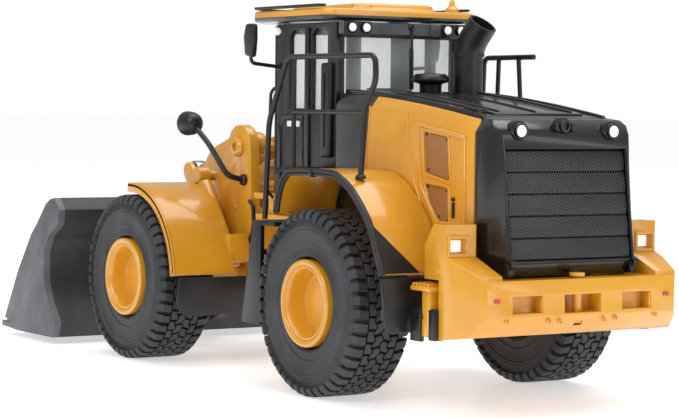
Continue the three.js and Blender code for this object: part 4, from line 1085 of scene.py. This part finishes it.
def vent_mesh(name):
    """The expanded metal in each window, just under the panel's face."""
    x = (HOOD_HW - 0.5, HOOD_HW - 0.25)
    plates = [plate("mesh", grown(outline, -0.08), "x", x) for outline in VENT_WINDOWS]
    return group(name, plates)


def vent_screws(name):
    corners = [corner for outline in VENT_WINDOWS for corner in grown(outline, -0.8)[:4]]
    return group(name, [screw("screw", (HOOD_HW - 0.3, y, z), (1, 0, 0), 0.26) for y, z in corners])


def hood_latch(name):
    catch = rounded(block("catch", (HOOD_HW - 0.1, HOOD_HW + 0.3), (57.9, 58.5), (31.6, 34.2)), 0.12)
    return group(name, [catch, screw("pivot", (HOOD_HW + 0.2, 58.2, 34.7), (1, 0, 0), 0.35)])


def hood_seam(name):
    """The rolled edge where the hood's two side panels meet."""
    line = [(44.6, 49.0), (45.1, 43), (46.6, 37.6), (49, 33.4), (51.8, 29.8)]
    return rounded(strip(name, bend_line(line), 0.16, 0.16, (HOOD_HW - 0.1, HOOD_HW + 0.14)), 0.08, 1)


def hood_ridge(name):
    return rounded(strip(name, hood_line(22.4, 63.2), 0.3, 0.3, (12.1, 12.9)), 0.2, 3)


def hood_lid(name):
    lid = rounded(strip("lid", hood_line(33, 61.6), 0.34, 0.2, (-9.4, 9.4)), 0.25, 3)
    line = hood_line(34, 60.5)
    ribs = [strip("rib", line, 0.62, -0.2, (x - 0.25, x + 0.25)) for x in (-7.6, 0, 7.6)]
    return group(name, [lid, *(rounded(rib, 0.12) for rib in ribs)])


def lid_handle(name):
    z = hood_top_z(58.4)
    outer = [(9.9, 56.4), (12.0, 56.4), (12.0, 60.4), (9.9, 60.4)]
    inner = [(10.3, 56.9), (11.6, 56.9), (11.6, 59.9), (10.3, 59.9)]
    cup = ring_plate("cup", outer, inner, "z", (z - 0.3, z + 0.62))
    pull = tube("pull", [(10.95, 57, z + 0.4), (10.95, 58.4, z + 0.55), (10.95, 59.8, z + 0.4)], 0.2)
    return group(name, [cup, pull])


both("vent_frames", vent_frames, REAR, yellow)
both("vent_mesh", vent_mesh, REAR, expanded)
both("vent_screws", vent_screws, REAR, black)
both("hood_latch", hood_latch, REAR, black)
both("hood_seam", hood_seam, REAR, yellow)
both("hood_ridge", hood_ridge, REAR, gloss_black)
trim("hood_lid", hood_lid, REAR, gloss_black)
trim("lid_handle", lid_handle, REAR, black)


# ---- rear shroud: lamps, boss and latches ----
REAR_LAMP = (9.6, 68.5, 46.1)


def rear_lamp(name):
    socket = [
        (0, -1.6),
        (1.6, -1.6),
        (1.85, -0.3),
        (1.7, 0.25),
        (1.35, 0.5),
        (1.3, 1.05),
        (1.02, 1.05),
        (0.98, 0.75),
        (0, 0.75),
    ]
    return turned(name, socket, REAR_LAMP, (0, 1, 0), 40)


def rear_lamp_lens(name):
    profile = [(0, 0.7), (0.95, 0.7), (0.95, 0.95), (0.6, 1.12), (0, 1.18)]
    return turned(name, profile, REAR_LAMP, (0, 1, 0), 32)


def shroud_boss(name):
    dome = [(0, -1), (1.5, -1), (1.45, 0.1), (1.1, 0.35), (1.0, 0.8), (0.6, 0.9), (0.5, 0.5), (0, 0.5)]
    dome = turned("dome", dome, (0.2, 68.2, 46.9), (0, 1, 0), 32)
    ears = [block("ear", (x - 0.35, x + 0.35), (67.6, 68.9), (46.2, 47.4)) for x in (-1.5, 1.9)]
    return group(name, [dome, *(rounded(ear, 0.15) for ear in ears)])


def shroud_latch(name):
    jaw = rounded(block("jaw", (12.0, 13.4), (69.9, 71.3), (22.7, 24.9)), 0.3, 2)
    profile = [(0.35, -0.5), (0.75, -0.5), (0.75, 0.5), (0.35, 0.5)]
    ring = turned("ring", profile, (12.7, 71.2, 24.6), (1, 0, 0), 24)
    return group(name, [jaw, ring])


GRILLE_TOP_Y, GRILLE_TOP_Z = 68.3, 43
GRILLE_LEAN = 0.129  # how far back the grille runs for each millimetre down
SLAT_HEIGHTS = (40.6, 35.0, 33.4, 29.8)
FRAME_X = 12.75


def grille_frame(name):
    """A slim frame that stands round the grille and leans with it."""
    upright = [(68.6, 43.2), (69.8, 34), (70.95, 25)]
    sides = [[(x, y, z) for y, z in upright] for x in (FRAME_X, -FRAME_X)]
    ends = [[(x, y, z) for x in (-FRAME_X, 0, FRAME_X)] for y, z in ((68.6, 43.4), (70.95, 24.9))]
    return group(name, [tube("bar", line, 0.28, 0.5) for line in (*sides, *ends)])


def grille_slats(name):
    """A thin slat beside each groove, so that the grille's panels stand apart."""
    slats = []
    for z in SLAT_HEIGHTS:
        y = GRILLE_TOP_Y + (GRILLE_TOP_Z - z) * GRILLE_LEAN + 0.05
        slats.append(tube("slat", [(-12, y, z), (0, y, z), (12, y, z)], 0.17, 0.5))
    return group(name, slats)


def hood_front_edge(name):
    """The rolled front edge of the hood's side panel."""
    line = [(31.0, 32.0), (31.4, 35), (32.1, 40), (32.9, 46), (33.3, 49.9)]
    return rounded(strip(name, bend_line(line), 0.3, 0.05, (HOOD_HW - 0.1, HOOD_HW + 0.16)), 0.1, 2)


both("hood_front_edge", hood_front_edge, REAR, yellow)
trim("grille_slats", grille_slats, REAR, black)
both("rear_lamp", rear_lamp, REAR, gloss_black)
both("rear_lamp_lens", rear_lamp_lens, REAR, white_lens)
trim("shroud_boss", shroud_boss, REAR, black)
both("shroud_latch", shroud_latch, REAR, black)
trim("grille_frame", grille_frame, REAR, black)


# ---- counterweight: lamps, reflectors, bolts and the step beside it ----
def tower_lamp(name):
    return rounded(block(name, (18.1, 20.9), (64.3, 65.0), (26.5, 28.5)), 0.2)


def tower_bezel(name):
    outer = [(17.3, 25.75), (21.6, 25.75), (21.6, 29.3), (17.3, 29.3)]
    inner = [(17.9, 26.3), (21.1, 26.3), (21.1, 28.7), (17.9, 28.7)]
    return ring_plate(name, outer, inner, "y", (65.9, 66.35))


def reflector(name):
    return rounded(block(name, (16.9, 18.1), (73.9, 74.12), (18.9, 19.6)), 0.08, 1)


def bumper_bolts(name):
    spots = [(6.9, 15.6), (15.4, 15.9), (4.6, 15.4)]
    bolts = [screw("bolt", (x, 73.75, z), (0, 1, 0), 0.42) for x, z in spots]
    webs = [rounded(block("web", (x, x + 0.5), (71.9, 73.7), (16.9, 19.9)), 0.12) for x in (7.9, 14.1)]
    return group(name, [*bolts, *webs])


def rear_step(name):
    tread = rounded(block("tread", (19.2, 23.2), (58.0, 63.4), (20.1, 20.9)), 0.2)
    places = [58.3 + step for step in range(5)]
    teeth = [rounded(block("tooth", (19.4, 23.0), (y, y + 0.45), (20.8, 21.35)), 0.1, 1) for y in places]
    post = rounded(block("post", (19.4, 22.4), (60.2, 62.6), (12.6, 20.2)), 0.25)
    return group(name, [tread, *teeth, post])


def step_bracket(name):
    front = rounded(block("front", (21.9, 22.7), (57.4, 60.4), (11.8, 17.4)), 0.15)
    rear = rounded(block("rear", (20.6, 22.6), (62.4, 64.2), (12.2, 17.2)), 0.2)
    clamp = screw("clamp", (22.6, 60.1, 15.8), (1, 0, 0), 0.6)
    return group(name, [front, rear, clamp])


both("tower_lamp", tower_lamp, REAR, white_lens)
both("tower_bezel", tower_bezel, REAR, yellow)
both("reflector", reflector, REAR, red_lens)
both("bumper_bolts", bumper_bolts, REAR, yellow)
both("rear_step", rear_step, REAR, yellow)
both("step_bracket", step_bracket, REAR, black)


# ---- cab ----
CAB_HW = 13.8
ROOF_LAMPS = [(x, 22.4, 63.9) for x in (11.9, 8.9)]


def roof_lamp(name):
    socket = [(0, -0.5), (1.05, -0.5), (1.05, 0.5), (0.85, 0.6), (0.8, 0.35), (0, 0.35)]
    return group(name, [turned("socket", socket, spot, (0, 1, 0), 28) for spot in ROOF_LAMPS])


def lamp_box(name):
    return rounded(block(name, (7.6, 13.4), (21.7, 22.5), (62.3, 65.0)), 0.3, 2)


def roof_lamp_lens(name):
    bulb = [(0, 0.3), (0.78, 0.3), (0.7, 0.6), (0.45, 0.78), (0, 0.85)]
    return group(name, [turned("lens", bulb, spot, (0, 1, 0), 28) for spot in ROOF_LAMPS])


def pillar_cover(name):
    cover = rounded(block("cover", (CAB_HW - 0.2, CAB_HW + 0.8), (16.4, 19.6), (40.6, 57.6)), 0.7, 4)
    rib = rounded(block("rib", (CAB_HW + 0.7, CAB_HW + 1.0), (17.4, 18.0), (42.4, 55.8)), 0.14)
    post = rounded(block("post", (CAB_HW - 0.1, CAB_HW + 0.35), (10.3, 11.8), (33, 64)), 0.18, 2)
    return group(name, [cover, rib, post])


def door_panel(name):
    outline = [(1.4, 31.5), (9.6, 31.5), (9.6, 48.2), (2.8, 48.2), (1.4, 46.6)]
    return ring_plate(name, outline, grown(outline, -0.9), "x", (CAB_HW - 0.1, CAB_HW + 0.2))


def door_handle(name):
    return rounded(block(name, (CAB_HW + 0.1, CAB_HW + 0.6), (4.7, 9.0), (46.0, 47.1)), 0.22, 2)


def corner_lamp(name):
    profile = [(0, -0.6), (0.5, -0.4), (0.75, 0.1), (0.5, 0.55), (0, 0.7)]
    return turned(name, profile, (14.3, 1.0, 63.6), (0, 1, 0), 24)


def grab_rail(name):
    return tube(name, [(13.7, 1.9, 53.9), (15, 0.1, 52.6), (15, -1.2, 34), (13.5, -1.2, 32.6)], 0.3, 0.8)


def wiper(name):
    arm = tube("arm", [(-1.6, 22.0, 64.4), (-1.9, 21.4, 60), (-2.3, 21.2, 53.2)], 0.24)
    blade = rounded(block("blade", (-2.55, -1.75), (20.75, 21.2), (53.0, 60.5)), 0.15)
    return group(name, [arm, blade, screw("pivot", (-1.6, 21.6, 64.3), (0, 1, 0), 0.6)])


def window_seal(name):
    outer = [(-12.9, 49.4), (12.9, 49.4), (12.9, 62.9), (-12.9, 62.9)]
    inner = [(-12.2, 50.1), (12.2, 50.1), (12.2, 62.2), (-12.2, 62.2)]
    return ring_plate(name, outer, inner, "y", (20.5, 20.85))


both("lamp_box", lamp_box, REAR, black)
both("roof_lamp", roof_lamp, REAR, black)
both("roof_lamp_lens", roof_lamp_lens, REAR, white_lens)
both("pillar_cover", pillar_cover, REAR, black)
both("door_panel", door_panel, REAR, gloss_black)
both("door_handle", door_handle, REAR, white_plastic)
both("corner_lamp", corner_lamp, REAR, white_lens)
both("grab_rail", grab_rail, REAR, black)
trim("wiper", wiper, REAR, black)
trim("window_seal", window_seal, REAR, trim_rubber)


# ---- between the frames, and the linkage's pins ----
def deck_bars(name):
    bars = [
        rounded(block("bar", (12.4, 13.6), (-8.4, -0.6), (32.2, 33.4)), 0.25),
        rounded(block("bar", (12.6, 15.4), (-4.6, 9.0), (28.6, 29.6)), 0.25),
    ]
    return group(name, [*bars, rounded(block("hanger", (12.5, 13.4), (-3.2, -1.4), (28.8, 33)), 0.2)])


def steering_hose(name):
    line = [(9.6, -16.5, 31.3), (10.6, -13.4, 30.8), (10.6, -13.2, 26), (9.6, -16.5, 23.4)]
    return tube(name, line, 0.42, 1.2)


def tower_caps(name):
    spots = [(20.7, 41.7, 1.9), (26.4, 24.6, 0.5), (22.0, 30.0, 0.5), (18.0, 22.0, 0.5)]
    return group(name, [screw("cap", (9.6, -ahead, z), (1, 0, 0), radius) for ahead, z, radius in spots])


def arm_caps(name):
    spots = [(45.4, 26, 1.3), (37, 32, 1.6)]
    return group(name, [screw("cap", (7.2, -ahead, z), (1, 0, 0), radius) for ahead, z, radius in spots])


def rod_eye(name):
    ring = [(0, -1.28), (1.55, -1.28), (1.8, -1.1), (1.8, 1.1), (1.55, 1.28), (0, 1.28)]
    return turned(name, ring, (11.5, -32.3, 35.8), (1, 0, 0), 32)


both("deck_bars", deck_bars, REAR, yellow)
both("steering_hose", steering_hose, FRONT, black)
both("tower_caps", tower_caps, FRONT, yellow)
both("arm_caps", arm_caps, "lift_arms", yellow)
left_eye = rod_eye("left_rod_eye")
right_eye = mirror(left_eye, "right_rod_eye")
finish_piece(left_eye, "left_lift_rod", yellow)
finish_piece(right_eye, "right_lift_rod", yellow)


# ---- floor, light and camera ----
ROOM_LIGHT = 0.5
FLOOR_GLOW = 0.52


def backdrop():
    """A pale table that runs out into a white room; the room lights softly but looks white."""
    bpy.ops.mesh.primitive_plane_add(size=24, location=(0, 0, 0))
    floor = named("studio_floor")
    pale = Finish("studio_white", roughness=0.32)
    pale.set(base_color=linear("EFEFF0"), emission_color=(1, 1, 1, 1), emission_strength=FLOOR_GLOW)
    floor.data.materials.append(pale.material)
    world = bpy.data.worlds.new("studio")
    world.use_nodes = True
    sky = world.node_tree.nodes["Background"]
    sky.inputs["Color"].default_value = (1, 1, 1, 1)
    seen = world.node_tree.nodes.new("ShaderNodeLightPath")
    level = world.node_tree.nodes.new("ShaderNodeMapRange")
    level.inputs["To Min"].default_value = ROOM_LIGHT
    world.node_tree.links.new(seen.outputs["Is Camera Ray"], level.inputs["Value"])
    world.node_tree.links.new(level.outputs["Result"], sky.inputs["Strength"])
    bpy.context.scene.world = world
    bpy.context.scene.view_settings.view_transform = "Standard"


def softbox(name, spot, size, power, aim=(0, 0, 0.03)):
    bpy.ops.object.light_add(type="AREA", location=spot)
    lamp = bpy.context.object
    lamp.name = name
    lamp.data.shape = "RECTANGLE"
    lamp.data.size, lamp.data.size_y = size
    lamp.data.energy = power
    lamp.rotation_euler = (Vector(aim) - Vector(spot)).to_track_quat("-Z", "Y").to_euler()


def camera():
    yaw, pitch, roll = math.radians(147.13), math.radians(2.56), math.radians(0.63)
    back = Vector((math.sin(yaw) * math.cos(pitch), -math.cos(yaw) * math.cos(pitch), math.sin(pitch)))
    right = Vector((0, 0, 1)).cross(back).normalized()
    up = back.cross(right)
    tilted = right * math.cos(roll) + up * math.sin(roll)
    upright = up * math.cos(roll) - right * math.sin(roll)
    bpy.ops.object.camera_add(location=(0.2282, 0.3609, 0.0492))
    made = bpy.context.object
    turned_to = Matrix((tilted, upright, back)).transposed().to_4x4()
    made.matrix_world = Matrix.Translation(made.location) @ turned_to
    made.data.lens, made.data.sensor_width = 117.7, 36
    made.data.clip_start, made.data.clip_end = 0.01, 20
    bpy.context.scene.camera = made


backdrop()
softbox("key", (0.5, 0.25, 0.5), (0.3, 0.4), 1.7)
softbox("top", (-0.1, 0.0, 0.7), (0.5, 0.7), 3.2)
softbox("rear_fill", (-0.25, 0.7, 0.3), (0.3, 0.5), 0.9)
camera()
